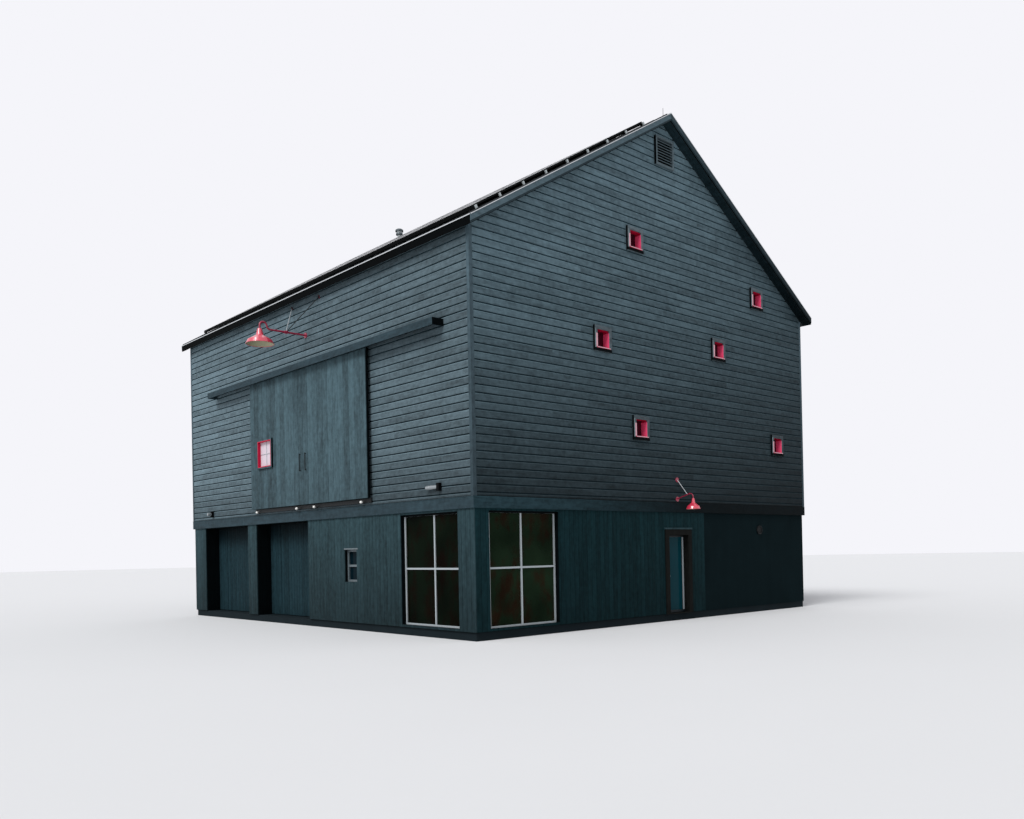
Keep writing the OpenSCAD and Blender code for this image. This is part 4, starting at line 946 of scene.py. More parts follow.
class BARN_OT_lower_boards(bpy.types.Operator):
    """Stand the upright boards of the lower walls, the piers and the garage recesses"""
    bl_idname = "barn.lower_boards"
    bl_label = "Lower Boards"
    bl_options = {"REGISTER", "UNDO"}

    def execute(self, context):
        sizes = context.scene.barn_boards
        width = sizes.upright_width
        foot_gap = 0.012
        door_gap = 0.005
        door_lap = 0.02
        ceiling_joint, ceiling_board = 0.003, 0.012
        run = (SLAB_TOP + foot_gap, FLOOR_Z)
        frames = sorted(solids("corner_window_frames"), key=lambda box: box[1].y - box[0].y)
        gable_frame, front_frame = frames[0], frames[-1]
        small = next(box for box in solids("small_window_frames") if box[1].z < FLOOR_Z)
        garages = solids("garage_doors")
        pier_end = 2 * HALF_L - (LOW_Y + HALF_L)
        corner = LOW_Y + HALF_L - sizes.thickness
        starts = [garage[0].y + HALF_L - door_gap for garage in garages]
        ends = [garage[1].y + HALF_L + door_gap for garage in garages]
        fronts, gables, bays = Batch(), Batch(), Batch()
        front_holes = [swap(hole_in(*front_frame, 1, -HALF_L)), swap(hole_in(*small, 1, -HALF_L))]
        for a, b in ((corner, starts[0]), (ends[0], starts[1]), (ends[1], pier_end)):
            boarding(fronts, low_front, even(a, b, width), run, front_holes, upright=True, seed=11 + round(a),
                     lengths=False)
        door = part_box("door_frame")
        gable_holes = [swap(hole_in(*gable_frame, 0, 0.0)), swap(hole_in(*door, 0, 0.0, door_lap))]
        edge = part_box("gable_lower_wall_right")[1].x
        boarding(gables, low_gable, even(LOW_X, edge, width), run, gable_holes, upright=True, seed=21,
                 lengths=False)
        recess = garages[0][0].x
        for k, (y, way) in enumerate([(starts[0], 1), (ends[0], -1), (starts[1], 1), (ends[1], -1)]):
            side = plane((LOW_X, -HALF_L + y, 0), (1, 0, 0), (0, way, 0))
            boarding(bays, side, even(0.0, recess - LOW_X, width), run, upright=True, seed=31 + k,
                     lengths=False)
        for start, end in zip(starts, ends):
            for a, b in even(0.0, recess - LOW_X, width):
                section = ((a + ceiling_joint, 0.0), (b - ceiling_joint, 0.0),
                           (b - ceiling_joint, ceiling_board), (a + ceiling_joint, ceiling_board))
                bays.loft([[Vector((LOW_X + x, -HALF_L + s, FLOOR_Z - down)) for x, down in section]
                           for s in (start, end)])
        fronts.piece("front_uprights", "lower_boards", "dark_boards")
        gables.piece("gable_uprights", "gable_uprights", "dark_boards")
        bays.piece("garage_bay_boards", "recess_boards", "dark_boards")
        return {"FINISHED"}


class BARN_OT_sliding_leaves(bpy.types.Operator):
    """Board the two sliding leaves"""
    bl_idname = "barn.sliding_leaves"
    bl_label = "Sliding Leaves"
    bl_options = {"REGISTER", "UNDO"}

    def execute(self, context):
        sizes = context.scene.barn_boards
        window_gap = 0.04
        liner = leaf_liner()
        face = front_face(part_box("sliding_door_right")[0].x)
        holes = [swap(hole_in(*liner, 1, -HALF_L, -window_gap))]
        batch = Batch()
        for k, node in enumerate(("sliding_door_left", "sliding_door_right")):
            low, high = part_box(node)
            boarding(batch, face, even(low.y + HALF_L, high.y + HALF_L, sizes.leaf_board),
                     (low.z, high.z), holes, upright=True, seed=41 + k, lengths=False)
        batch.piece("sliding_leaf_boards", "leaf_boards", "door_boards")
        return {"FINISHED"}


class BARN_OT_leaf_window(bpy.types.Operator):
    """Glaze the sliding leaf's window, and line and case it"""
    bl_idname = "barn.leaf_window"
    bl_label = "Leaf Window"
    bl_options = {"REGISTER", "UNDO"}

    def execute(self, context):
        half = context.scene.barn_fittings.muntin / 2
        pane_out = (0.0005, 0.003)
        upright_out, level_out, bar_ease = (0.003, 0.014), (0.003, 0.013), 0.004
        liner_lap, liner_in, liner_lip, skin = -0.002, -0.03, 0.020, 0.003
        casing_start, casing_end, casing_skin = 0.0205, 0.064, 0.002
        low, high = max(solids("window_glass"), key=lambda box: box[1].z)
        u = (low.y + HALF_L, high.y + HALF_L)
        z = (low.z, high.z)
        face = front_face(low.x)
        sheet, bars, red, casing = Batch(), Batch(), Batch(), Batch()
        sheet.box(face, u, z, pane_out)
        middle = (u[0] + u[1]) / 2
        bars.eased_box(face, (middle - half, middle + half), z, upright_out, bar_ease)
        bars.eased_box(face, u, (sum(z) / 2 - half, sum(z) / 2 + half), level_out, bar_ease)
        front_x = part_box("sliding_door_right")[0].x
        proud = front_x - leaf_liner()[0].x
        face = front_face(front_x)
        red.frame(face, u, z, [(liner_lap, liner_in), (liner_lap, proud + skin), (liner_lip, proud + skin),
                               (liner_lip, proud), (0.0, proud), (0.0, liner_in)])
        casing.frame(face, u, z, [(casing_start, proud), (casing_start, proud + casing_skin),
                                  (casing_end, proud + casing_skin), (casing_end, proud)])
        sheet.piece("leaf_window_pane", "pale_pane", "clear_glass")
        bars.piece("leaf_window_muntins", "frame_grey", "grey_frame")
        red.piece("leaf_window_liner", "red_wood", "red_paint_wood")
        casing.piece("leaf_window_casing", "leaf_boards", "door_boards")
        return {"FINISHED"}


class BARN_OT_leaf_channel(bpy.types.Operator):
    """Run a black bar under the sliding leaves, painted shade where they shade the wall"""
    bl_idname = "barn.leaf_channel"
    bl_label = "Shade Under Leaves"
    bl_options = {"REGISTER", "UNDO"}

    def execute(self, context):
        end_gap, depth, leaf_gap, reach, ease = 0.02, 0.110, 0.004, 0.060, 0.006
        leaves = [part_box(node) for node in ("sliding_door_left", "sliding_door_right")]
        foot = leaves[0][0].z
        run = (min(leaf[0].y for leaf in leaves) + HALF_L + end_gap,
               max(leaf[1].y for leaf in leaves) + HALF_L - end_gap)
        channel = Batch()
        # Painted shade: a black bar on the wall under the leaves stands for their shadow.
        channel.eased_box(front, run, (foot - depth, foot - leaf_gap),
                          (context.scene.barn_boards.thickness, reach), ease)
        channel.piece("shade_bar_under_leaves", "steel", "track_steel")
        return {"FINISHED"}


class BARN_OT_garage_doors(bpy.types.Operator):
    """Board the garage doors in their recesses"""
    bl_idname = "barn.garage_doors"
    bl_label = "Garage Doors"
    bl_options = {"REGISTER", "UNDO"}

    def execute(self, context):
        sizes = context.scene.barn_boards
        wicket = 0.64
        half_joint = 0.012
        foot_gap = 0.02
        batch = Batch()
        for k, (low, high) in enumerate(solids("garage_doors")):
            start, end = low.y + HALF_L, high.y + HALF_L
            split = end - wicket
            for a, b in ((start, split - half_joint), (split + half_joint, end)):
                boarding(batch, front_face(low.x), even(a, b, sizes.upright_width),
                         (low.z + foot_gap, high.z), upright=True, seed=51 + k, lengths=False)
        batch.piece("garage_door_boards", "garage_boards", "door_boards")
        return {"FINISHED"}


class BARN_OT_belt_trim(bpy.types.Operator):
    """Face the belt board on all four sides and lay its flashing"""
    bl_idname = "barn.belt_trim"
    bl_label = "Belt Trim"
    bl_options = {"REGISTER", "UNDO"}

    def execute(self, context):
        sizes = context.scene.barn_boards
        count = 4
        foot_reveal, head_reveal = 0.004, 0.022
        sunk, ease = 0.002, 0.003
        lip_foot, lip_head, lip_sunk, lip_proud, lip_ease = 0.012, 0.004, 0.02, 0.006, 0.002
        low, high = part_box("belt_board")
        out = -HALF_W - low.x
        ends = (low.y + HALF_L, high.y + HALF_L)
        levels = (low.z + foot_reveal, high.z - head_reveal)
        depths = (out - sunk, out - sunk + sizes.belt_facing)
        draw = random.Random(sizes.seed)
        for name, place, run, look in (
                ("belt_front", front, ends, "trim_level"), ("belt_back", back, ends, "trim_level"),
                ("belt_gable", gable, (low.x, high.x), "gable_trim"),
                ("belt_far_gable", far_gable, (low.x, high.x), "trim_level")):
            facing = Batch()
            for i in range(count):
                a, b = (run[0] + (run[1] - run[0]) * k / count for k in (i, i + 1))
                facing.eased_box(place, (a + BUTT_GAP, b - BUTT_GAP), levels, depths, ease,
                                 draw.uniform(-1, 1))
            facing.piece(name, look, "dark_trim")
        drip = Batch()
        for place in (front, back):
            drip.eased_box(place, ends, (high.z - lip_foot, high.z + lip_head),
                           (out - lip_sunk, out + lip_proud), lip_ease)
        drip.piece("belt_flashing", "corner_trim", "dark_trim")
        return {"FINISHED"}


class BARN_OT_window_trim(bpy.types.Operator):
    """Edge the corner windows with dark frames, partly painted shade; paint light and shade on the gable
    windows and shade on the louvre's side; darken the hood's end
    """
    bl_idname = "barn.window_trim"
    bl_label = "Window Trim"
    bl_options = {"REGISTER", "UNDO"}

    def execute(self, context):
        wall_out = HALF_L + context.scene.barn_boards.thickness + 0.001
        thin, thick, border = (0.0, 0.002), (0.0, 0.003), (0.0, 0.004)
        border_width, gable_extra = 0.045, 0.02
        sill_height, strip_height, leg_height = 0.020, 0.33, 0.36
        liner_gap, leg_inset, leg_gap = 0.003, 0.004, 0.030
        cheek, far_leg_end = 0.020, 0.008
        strip_past, strip_in = 0.029, 0.022
        cheek_sunk, cheek_edge, cheek_foot, cheek_head = 0.026, 0.004, 0.003, 0.07
        nose_inset, nose_ease, sill_skin = 0.001, 0.001, 0.002
        hood_inset, hood_end, hood_head = 0.002, 0.01, 0.004
        dark, light, pale, lit = Batch(), Batch(), Batch(), Batch()
        frames = sorted(solids("corner_window_frames"), key=lambda box: box[1].y - box[0].y)
        for (low, high), face, axis, extra in (
                (frames[0], gable_face(frames[0][0].y), 0, gable_extra),
                (frames[-1], front_face(frames[-1][0].x, 0), 1, 0.0)):
            # Dark strips over the corner windows' outer frames: partly the frames' own dark colour, partly
            # painted shade at the head and in the gable window's wider left strip.
            left = (low[axis], low[axis] + border_width + extra)
            right = (high[axis] - border_width, high[axis])
            dark.box(face, left, (low.z, high.z), border)
            dark.box(face, right, (low.z, high.z), border)
            dark.box(face, (left[1], right[0]), (high.z - border_width, high.z), border)
        windows = zip(solids("gable_window_casings"), solids("gable_window_liners"))
        for (casing_low, casing_high), (low, high) in windows:
            face = gable_face(casing_low.y)
            sill = low.z + sill_height
            # Painted shade: the casing's left side and its part under the liner are dark strips.
            dark.box(left_edge(casing_low.x), (wall_out, -casing_low.y), (casing_low.z, casing_high.z), thick)
            dark.box(face, (casing_low.x, casing_high.x), (casing_low.z, low.z - liner_gap), thick)
            # Painted light: the casing's left leg and a short strip on the liner's right edge are lighter.
            light.box(face, (casing_low.x + leg_inset, low.x - leg_gap), (low.z, high.z), thin)
            light.box(face, (high.x - cheek, high.x - far_leg_end), (sill, sill + leg_height), thin)
            # Painted light: a pale strip on the left liner's front edge.
            pale.box(face, (low.x - strip_past, low.x + strip_in), (sill, sill + strip_height), thick)
            lit.box(left_edge(high.x - cheek), (-high.y - cheek_sunk, -casing_low.y - cheek_edge),
                    (sill + cheek_foot, high.z - cheek_head), thin)
            # Painted light: a pale sill nose.
            pale.eased_box(gable_face(low.y), (low.x + nose_inset, high.x - nose_inset),
                           (low.z + nose_inset, sill + sill_skin), thick, nose_ease)
        low, high = solids("louvre_vents")[0]
        # Painted shade: a dark strip on the louvre's left side.
        dark.box(left_edge(low.x), (wall_out, -low.y), (low.z, high.z), thick)
        # A dark strip over the hood's end face.
        low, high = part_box("track_hood")
        dark.box(gable_face(low.y), (low.x + hood_inset, high.x - hood_end),
                 (low.z + hood_inset, high.z - hood_head), thick)
        dark.piece("dark_frames_and_painted_shade", "sheathing", "dark_trim")
        light.piece("gable_casing_lit_strips", "lit_casing", "dark_trim")
        lit.piece("gable_window_liner_cheeks", "lit_red", "red_paint_wood")
        pale.piece("gable_window_lit_liner_edges", "lit_liner_red", "red_paint_wood")
        return {"FINISHED"}


class BARN_OT_small_window(bpy.types.Operator):
    """Lay panes over the small window's glass, and add its rail and head cap"""
    bl_idname = "barn.small_window"
    bl_label = "Small Window"
    bl_options = {"REGISTER", "UNDO"}

    def execute(self, context):
        near, pane_out = 0.01, (0.0005, 0.003)
        rail_start, rail_end, rail_foot, rail_head, rail_skin = 0.055, 0.095, 0.03, 0.06, 0.004
        cap_before, cap_past, cap_gap, cap_head, cap_out, ease = 0.07, 0.01, 0.001, 0.036, 0.032, 0.004
        low, high = next(box for box in solids("small_window_frames") if box[1].z < FLOOR_Z)
        panes, rails = Batch(), Batch()
        for pane_low, pane_high in solids("window_glass"):
            if pane_low.y > low.y - near and pane_high.z < high.z + near:
                panes.box(front_face(pane_low.x, 0), (pane_low.y, pane_high.y), (pane_low.z, pane_high.z),
                          pane_out)
        rails.box(front_face(low.x, 0), (low.y + rail_start, low.y + rail_end),
                  (low.z + rail_foot, high.z - rail_head), (0.0, rail_skin))
        rails.eased_box(low_front, (low.y + HALF_L - cap_before, high.y + HALF_L + cap_past),
                        (high.z + cap_gap, high.z + cap_head), (0.0, cap_out), ease)
        panes.piece("small_window_panes", "small_pane", "clear_glass")
        rails.piece("small_window_rails", "small_frame", "grey_frame")
        return {"FINISHED"}


class BARN_OT_entrance_trim(bpy.types.Operator):
    """Cap the entrance's frame, and fit the bright strip beside the door's glass"""
    bl_idname = "barn.entrance_trim"
    bl_label = "Entrance Trim"
    bl_options = {"REGISTER", "UNDO"}

    def execute(self, context):
        overhang, cap_height, cap_out, ease = 0.02, 0.045, (-0.05, 0.012), 0.004
        half_door = 0.0225
        strip_start, strip_end, strip_skin, strip_ease = 0.002, 0.066, 0.003, 0.001
        low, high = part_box("door_frame")
        cap, strip = Batch(), Batch()
        cap.eased_box(gable_face(low.y), (low.x - overhang, high.x + overhang),
                      (high.z, high.z + cap_height), cap_out, ease)
        cap.piece("entrance_head_cap", "lower_boards", "door_casing")
        low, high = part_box("entrance_door_glass")
        face = gable_face((low.y + high.y) / 2 - half_door)
        strip.eased_box(face, (high.x + strip_start, high.x + strip_end), (low.z, high.z),
                        (0.0, strip_skin), strip_ease)
        strip.piece("entrance_hinge_strip", "frame_grey", "entrance_paint", body="door")
        return {"FINISHED"}


class BARN_OT_roof_seams(bpy.types.Operator):
    """Raise the standing seams of both slopes"""
    bl_idname = "barn.roof_seams"
    bl_label = "Roof Seams"
    bl_options = {"REGISTER", "UNDO"}

    def execute(self, context):
        sizes = context.scene.barn_roofing
        end_gap, eave_gap, under_cap = 0.06, 0.015, 0.5
        inner = EDGE_Y - end_gap
        count = round(2 * inner / sizes.seam_pitch)
        half = sizes.seam_width / 2
        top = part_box("ridge_cap")[1].x * under_cap
        profile = ((-half, 0), (-half, 0.7), (-2 * half, 0.75), (-2 * half, 1), (half, 1), (half, 0))
        batch = Batch()
        for side in (-1, 1):
            for i in range(count + 1):
                y = -inner + 2 * inner * i / count
                batch.loft([[slope_point(side, y + w, x, h * sizes.seam_height) for w, h in profile]
                            for x in (EDGE_X - eave_gap, top)])
        batch.piece("roof_seams", "roofing", "roof_metal")
        return {"FINISHED"}


def rake_flashing(sizes, side, way):
    """Rings of the bent sheet that caps a rake."""
    past = 0.004
    rings = []
    for x in (EDGE_X + past, 0.0):
        outer = EDGE_Y + sizes.rake_proud + past
        inner = EDGE_Y - sizes.flashing_top
        section = ((inner, 0, 0), (inner, sizes.flashing, 0), (outer + sizes.flashing, sizes.flashing, 0),
                   (outer + sizes.flashing, 0, sizes.flashing_drop), (outer, 0, sizes.flashing_drop),
                   (outer, 0, 0))
        rings.append([slope_point(side, way * y, x, rise) - UP * drop for y, rise, drop in section])
    return rings


def eave_flashing(sizes, side):
    """Rings of the bent sheet along an eave."""
    outer, inner, back, extra_drop = 0.012, 0.009, -0.09, 0.004
    drop = -sizes.flashing_drop - extra_drop
    lip = [(outer, sizes.flashing), (back, sizes.flashing), (back, 0), (inner, 0), (inner, drop),
           (outer, drop)]
    return [[Vector((side * (EDGE_X + x), y, roof_top(EDGE_X + min(x, 0.0)) + h)) for x, h in lip]
            for y in (-EDGE_Y, EDGE_Y)]


def rake_rings(side, way, section):
    """Rings of a board under a rake's flashing, its section in (distance out, drop) points."""
    return [[Vector((side * x, way * (EDGE_Y + y), roof_top(x) - z)) for y, z in section]
            for x in (EDGE_X, 0.0)]


class BARN_OT_roof_edges(bpy.types.Operator):
    """Fit the bright edge flashings, the double rake boards, whose lower boards are dark as painted shade,
    and the soffit boards
    """
    bl_idname = "barn.roof_edges"
    bl_label = "Roof Edges"
    bl_options = {"REGISTER", "UNDO"}

    def execute(self, context):
        sizes = context.scene.barn_roofing
        bevel, lower_proud, foot_gap = 0.004, 0.004, 0.002
        end_gap, half_joint, soffit_depth = 0.03, 0.003, 0.010
        proud, split = sizes.rake_proud, sizes.rake_board
        foot = EAVE_Z - UNDER_Z - foot_gap
        upper = ((0, 0.0), (proud, 0.0), (proud, split - bevel), (proud - bevel, split), (0, split))
        under = ((0, split), (lower_proud, split), (lower_proud, foot), (0, foot))
        metal = Batch()
        rakes, lower, soffits = ({-1: Batch(), 1: Batch()} for _ in range(3))
        for side in (-1, 1):
            for way in (-1, 1):
                metal.loft(rake_flashing(sizes, side, way))
                rakes[side].loft(rake_rings(side, way, upper))
                lower[side].loft(rake_rings(side, way, under))
                for a, b in even(HALF_L + end_gap, EDGE_Y - end_gap, sizes.soffit_board):
                    section = ((a + half_joint, 0), (a + half_joint, soffit_depth),
                               (b - half_joint, soffit_depth), (b - half_joint, 0))
                    soffits[side].loft([[Vector((side * x, way * y, roof_under(x) - down))
                                         for y, down in section] for x in (EDGE_X - end_gap, 0.0)])
            metal.loft(eave_flashing(sizes, side))
        metal.piece("edge_flashings", "bright_metal", "roof_metal")
        rakes[-1].piece("front_slope_rake_boards", "rake_boards", "dark_trim")
        lower[-1].piece("front_slope_lower_rakes", "rake_low", "dark_trim")
        rakes[1].piece("back_slope_rake_boards", "back_rakes", "dark_trim")
        lower[1].piece("back_slope_lower_rakes", "back_eave", "dark_trim")
        soffits[-1].piece("front_slope_soffit_boards", "eave_boards", "dark_trim")
        soffits[1].piece("back_slope_soffit_boards", "back_eave", "dark_trim")
        return {"FINISHED"}


class BARN_OT_solar_modules(bpy.types.Operator):
    """Frame the solar modules, clamp them to the rails' near ends, and lay a painted highlight along the
    array's near edge
    """
    bl_idname = "barn.solar_modules"
    bl_label = "Solar Modules"
    bl_options = {"REGISTER", "UNDO"}

    def execute(self, context):
        low, high, rows, columns = array_grid()
        skin, rim, sunk = 0.0015, 0.012, 0.001
        section = [(skin, low.z), (skin, high.z + skin), (-rim, high.z + skin), (-rim, high.z - sunk),
                   (0.0, high.z - sunk), (0.0, low.z)]
        row = (high.x - low.x + MODULE_GAP) / rows
        column = (high.y - low.y + MODULE_GAP) / columns
        rims, bright = Batch(), Batch()
        for i in range(rows):
            for j in range(columns):
                x, y = low.x + i * row, low.y + j * column
                rims.frame(on_array, (x, x + row - MODULE_GAP), (y, y + column - MODULE_GAP), section)
        rims.piece("module_frames", "module_black", "solar_glass")
        half_clamp, clamp_start, clamp_end = 0.024, 0.004, 0.03
        clamp_foot, clamp_head = 0.030, 0.062
        strip_width, strip_foot, strip_head = 0.010, 0.002, 0.004
        for rail_low, rail_high in solids("panel_rails"):
            middle = (rail_low + rail_high) / 2
            across = Matrix.Rotation(PITCH, 3, "Y") @ Vector((middle.x, rail_low.y, middle.z))
            bright.box(on_array, (across.x - half_clamp, across.x + half_clamp),
                       (rail_low.y - clamp_start, rail_low.y + clamp_end),
                       (across.z - clamp_foot, across.z + clamp_head))
        # Painted highlight: a thin light strip on top of the array's near edge.
        bright.box(on_array, (low.x, high.x), (low.y, low.y + strip_width),
                   (high.z + strip_foot, high.z + strip_head))
        bright.piece("array_clamps_and_edge_highlight", "vent_light", "rail_aluminium")
        return {"FINISHED"}


class BARN_OT_lamp_shades(bpy.types.Operator):
    """Line the lamp shades and roll their rims"""
    bl_idname = "barn.lamp_shades"
    bl_label = "Lamp Shades"
    bl_options = {"REGISTER", "UNDO"}

    def execute(self, context):
        fittings = context.scene.barn_fittings
        bell = [(1.0, 0.0), (0.86, 0.26), (0.28, 0.57)]
        lining_skin = 0.003
        rim_dip = 0.002
        big_lamp, small_bead, bead_sides = 0.3, 0.6, 10
        bead_in, bead_up = 0.4, 0.3
        lining, beads = Batch(), Batch()
        for low, high in sorted(solids("lamp_shades"), key=lambda box: box[0].x - box[1].x):
            middle = (low + high) / 2
            foot = Vector((middle.x, middle.y, low.z))
            height = high.z - low.z
            rim = (high.x - low.x) / 2

            def lined(inset):
                return [(rim * r - inset, height * h - (inset if h else -rim_dip)) for r, h in bell]

            skin = fittings.shade_skin
            lining.turned(foot, lined(skin) + lined(skin + lining_skin)[::-1])
            r = fittings.bead * (1.0 if rim > big_lamp else small_bead)
            angles = [2 * math.pi * k / bead_sides for k in range(bead_sides)]
            beads.turned(foot, [(rim + r * (math.cos(a) - bead_in), r * (bead_up + math.sin(a)))
                                for a in angles])
        lining.piece("lamp_shade_lining", "lamp_inside", "red_lamp_paint", smooth=True)
        beads.piece("lamp_shade_rims", "lamp_red", "red_lamp_paint", smooth=True)
        return {"FINISHED"}


class BARN_OT_lamp_stays(bpy.types.Operator):
    """Sleeve the stays of both lamps and cap the barn lamp's wall anchors"""
    bl_idname = "barn.lamp_stays"
    bl_label = "Lamp Stays"
    bl_options = {"REGISTER", "UNDO"}

    def execute(self, context):
        fittings = context.scene.barn_fittings
        collar_share, rod_share = 0.05, 0.96
        rod_radius, rod_wall = 0.0085, 0.030
        cap_start, cap_end, cap_skin = 0.022, 0.034, 0.001
        stay_sides, cap_sides = 12, 20
        arms = solids("lamp_arms")
        low, high = max(arms, key=lambda box: box[1].y - box[0].y)
        middle = (low.y + high.y) / 2 + HALF_L
        arm_z = low.z + fittings.lamp_plate
        top = high.z - fittings.anchor
        sideways = (high.y - low.y) / 2 - fittings.anchor
        stays, anchors, bright = Batch(), Batch(), Batch()
        r = fittings.anchor + cap_skin
        # Painted shade and light: the near stay is dark steel, the other grey.
        for way, batch in ((-1, stays), (1, bright)):
            foot = front(middle, arm_z, fittings.stay_reach)
            head = front(middle + way * sideways, top, fittings.stay_wall)
            batch.tube(foot.lerp(head, collar_share), head, [(0, fittings.stay), (1, fittings.stay)],
                       stay_sides)
            place = front(middle + way * sideways, top, 0.0)
            anchors.tube(place + Vector((-cap_start, 0, 0)), place + Vector((-cap_end, 0, 0)),
                         [(0, r), (0.7, r), (1, r * 0.8)], cap_sides)
        low, high = max(arms, key=lambda box: -box[0].y)
        middle = (low.x + high.x) / 2
        head = gable(middle, high.z - fittings.rod_plate, rod_wall)
        foot = gable(middle, low.z + fittings.rod_plate + fittings.rod_rise, fittings.rod_reach)
        bright.tube(head, head.lerp(foot, rod_share), [(0, rod_radius), (1, rod_radius)], stay_sides)
        stays.piece("near_lamp_stay", "steel", "red_lamp_paint", smooth=True)
        bright.piece("bright_lamp_stays", "stay_grey", "red_lamp_paint", smooth=True)
        anchors.piece("lamp_stay_anchors", "iron", "red_lamp_paint", smooth=True)
        return {"FINISHED"}


class BARN_OT_flood_lights(bpy.types.Operator):
    """Stand finished flood lights in for the plain ones"""
    bl_idname = "barn.flood_lights"
    bl_label = "Flood Lights"
    bl_options = {"REGISTER", "UNDO"}

    def execute(self, context):
        fittings = context.scene.barn_fittings
        r = fittings.flood_radius
        barrel = [(0, r * 0.9), (0.55, r * 0.94), (0.56, r), (0.66, r), (0.67, r * 0.92), (0.70, r * 0.92),
                  (0.71, r), (0.97, r), (1.0, r * 0.88)]
        half_base, base_start, base_end, base_out, base_ease = 0.09, 0.01, 0.085, 0.115, 0.012
        turned_base, head_start, long_head, head_sides = 0.030, 0.035, 0.3, 32
        heads, bases = Batch(), Batch()
        for low, high in solids("flood_lights"):
            z = (low.z + high.z) / 2
            straight = high.y - low.y > long_head
            s = low.y + HALF_L + (0.0 if straight else turned_base)
            bases.eased_box(front, (s - base_start, s + base_end), (z - half_base, z + half_base),
                            (0.0, base_out), base_ease)
            start = front(s + head_start, z, fittings.flood_reach)
            end = Vector((low.x, start.y, z))
            if straight:
                end = front(high.y + HALF_L, z, fittings.flood_reach)
            heads.tube(start, end, barrel, head_sides)
        heads.piece("flood_light_heads", "flood_grey", "flood_white", smooth=True)
        made = bases.piece("flood_light_bases", "module_black", "flood_white")
        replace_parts(made, "flood_lights")
        return {"FINISHED"}


class BARN_OT_guide_rollers(bpy.types.Operator):
    """Hang the white guide rollers under the leaves"""
    bl_idname = "barn.guide_rollers"
    bl_label = "Guide Rollers"
    bl_options = {"REGISTER", "UNDO"}

    def execute(self, context):
        r = context.scene.barn_fittings.roller / 2
        wall_gap, leaf_gap = 0.03, 0.09
        crown, flat_end, steps, sides = 0.9, 0.05, 10, 24
        leaf_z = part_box("sliding_door_left")[0].z
        rollers = Batch()
        for low, high in solids("door_guides"):
            middle = Vector((low.x + wall_gap, (low.y + high.y) / 2, leaf_z - leaf_gap))
            ball = [(i / steps, r * math.sqrt(max(flat_end, 1 - (i / (steps / 2) - 1) ** 2 * crown)))
                    for i in range(steps + 1)]
            rollers.tube(middle - UP * r * crown, middle + UP * r * crown, ball, sides)
        rollers.piece("guide_rollers", "nylon", "white_nylon", smooth=True)
        return {"FINISHED"}


class BARN_OT_wall_vent(bpy.types.Operator):
    """Slope the slats of the wall vent"""
    bl_idname = "barn.wall_vent"
    bl_label = "Wall Vent"
    bl_options = {"REGISTER", "UNDO"}

    def execute(self, context):
        low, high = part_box("wall_vent")
        middle = (low + high) / 2
        count, rim = 6, 0.02
        section = ((0.012, 0.012), (0.016, 0.014), (-0.010, 0.036), (-0.014, 0.034))
        radius = (high.x - low.x) / 2 - rim
        face = plane((middle.x, high.y, 0), (1, 0, 0), (0, -1, 0))
        slats = Batch()
        for i in range(count):
            z = middle.z - radius + 2 * radius * (i + 0.5) / count
            half = math.sqrt(max(0.001, radius ** 2 - (z - middle.z) ** 2))
            slats.loft([[face(u, z + rise, out) for rise, out in section] for u in (-half, half)])
        slats.piece("wall_vent_slats", "iron", "black_plastic")
        return {"FINISHED"}


class BARN_OT_roof_vent(bpy.types.Operator):
    """Stack the caps and collars of the roof vent in place of the plain pipe"""
    bl_idname = "barn.roof_vent"
    bl_label = "Roof Vent"
    bl_options = {"REGISTER", "UNDO"}

    def execute(self, context):
        low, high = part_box("vent_pipe")
        wide = (high.y - low.y) / 2
        sides = 32
        middle = Vector((high.x - wide, (low.y + high.y) / 2, high.z))
        caps, collars = Batch(), Batch()
        for batch, top, foot, radii in (
                (caps, 0.030, 0.115, [(0, 0.70), (0.35, 0.98), (1, 1.0)]),
                (collars, 0.114, 0.175, [(0, 0.7), (1, 0.7)]),
                (caps, 0.174, 0.235, [(0, 0.82), (0.3, 0.86), (1, 0.86)]),
                (collars, 0.234, 0.47, [(0, 0.5), (1, 0.5)]),
                (caps, 0.38, 0.50, [(0, 0.52), (1, 0.9)])):
            batch.tube(middle - UP * top, middle - UP * foot, [(share, r * wide) for share, r in radii],
                       sides)
        collars.piece("roof_vent_collars", "vent_light", "dark_pipe", smooth=True)
        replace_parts(caps.piece("roof_vent_caps", "vent_dark", "dark_pipe", smooth=True), "vent_pipe")
        return {"FINISHED"}


class BARN_OT_lightning_rod(bpy.types.Operator):
    """Stand the lightning rod on the near end of the ridge"""
    bl_idname = "barn.lightning_rod"
    bl_label = "Lightning Rod"
    bl_options = {"REGISTER", "UNDO"}

    def execute(self, context):
        from_end, sunk, base_height = 0.25, 0.01, 0.03
        foot = Vector((0, -EDGE_Y + from_end, RIDGE_Z))
        top = foot + UP * context.scene.barn_fittings.rod_height
        rod = Batch()
        base, needle = [(0, 0.03), (0.6, 0.028), (1, 0.012)], [(0, 0.006), (0.9, 0.005), (1, 0.0012)]
        rod.tube(foot - UP * sunk, foot + UP * base_height, base, 16)
        rod.tube(foot, top, needle, 10)
        rod.piece("lightning_rod", "steel", "dark_pipe")
        return {"FINISHED"}


def lay_floor(scene, stage):
    """Round pale floor, just under the barn."""
    sides, below = 96, 0.001
    angles = [2 * math.pi * k / sides for k in range(sides)]
    ring = [(stage.floor_size * math.cos(a), stage.floor_size * math.sin(a), -below) for a in angles]
    mesh = bpy.data.meshes.new("floor")
    mesh.from_pydata(ring, [], [tuple(range(sides))])
    mesh.materials.append(finish("floor"))
    floor = bpy.data.objects.new("floor", mesh)
    scene.collection.objects.link(floor)


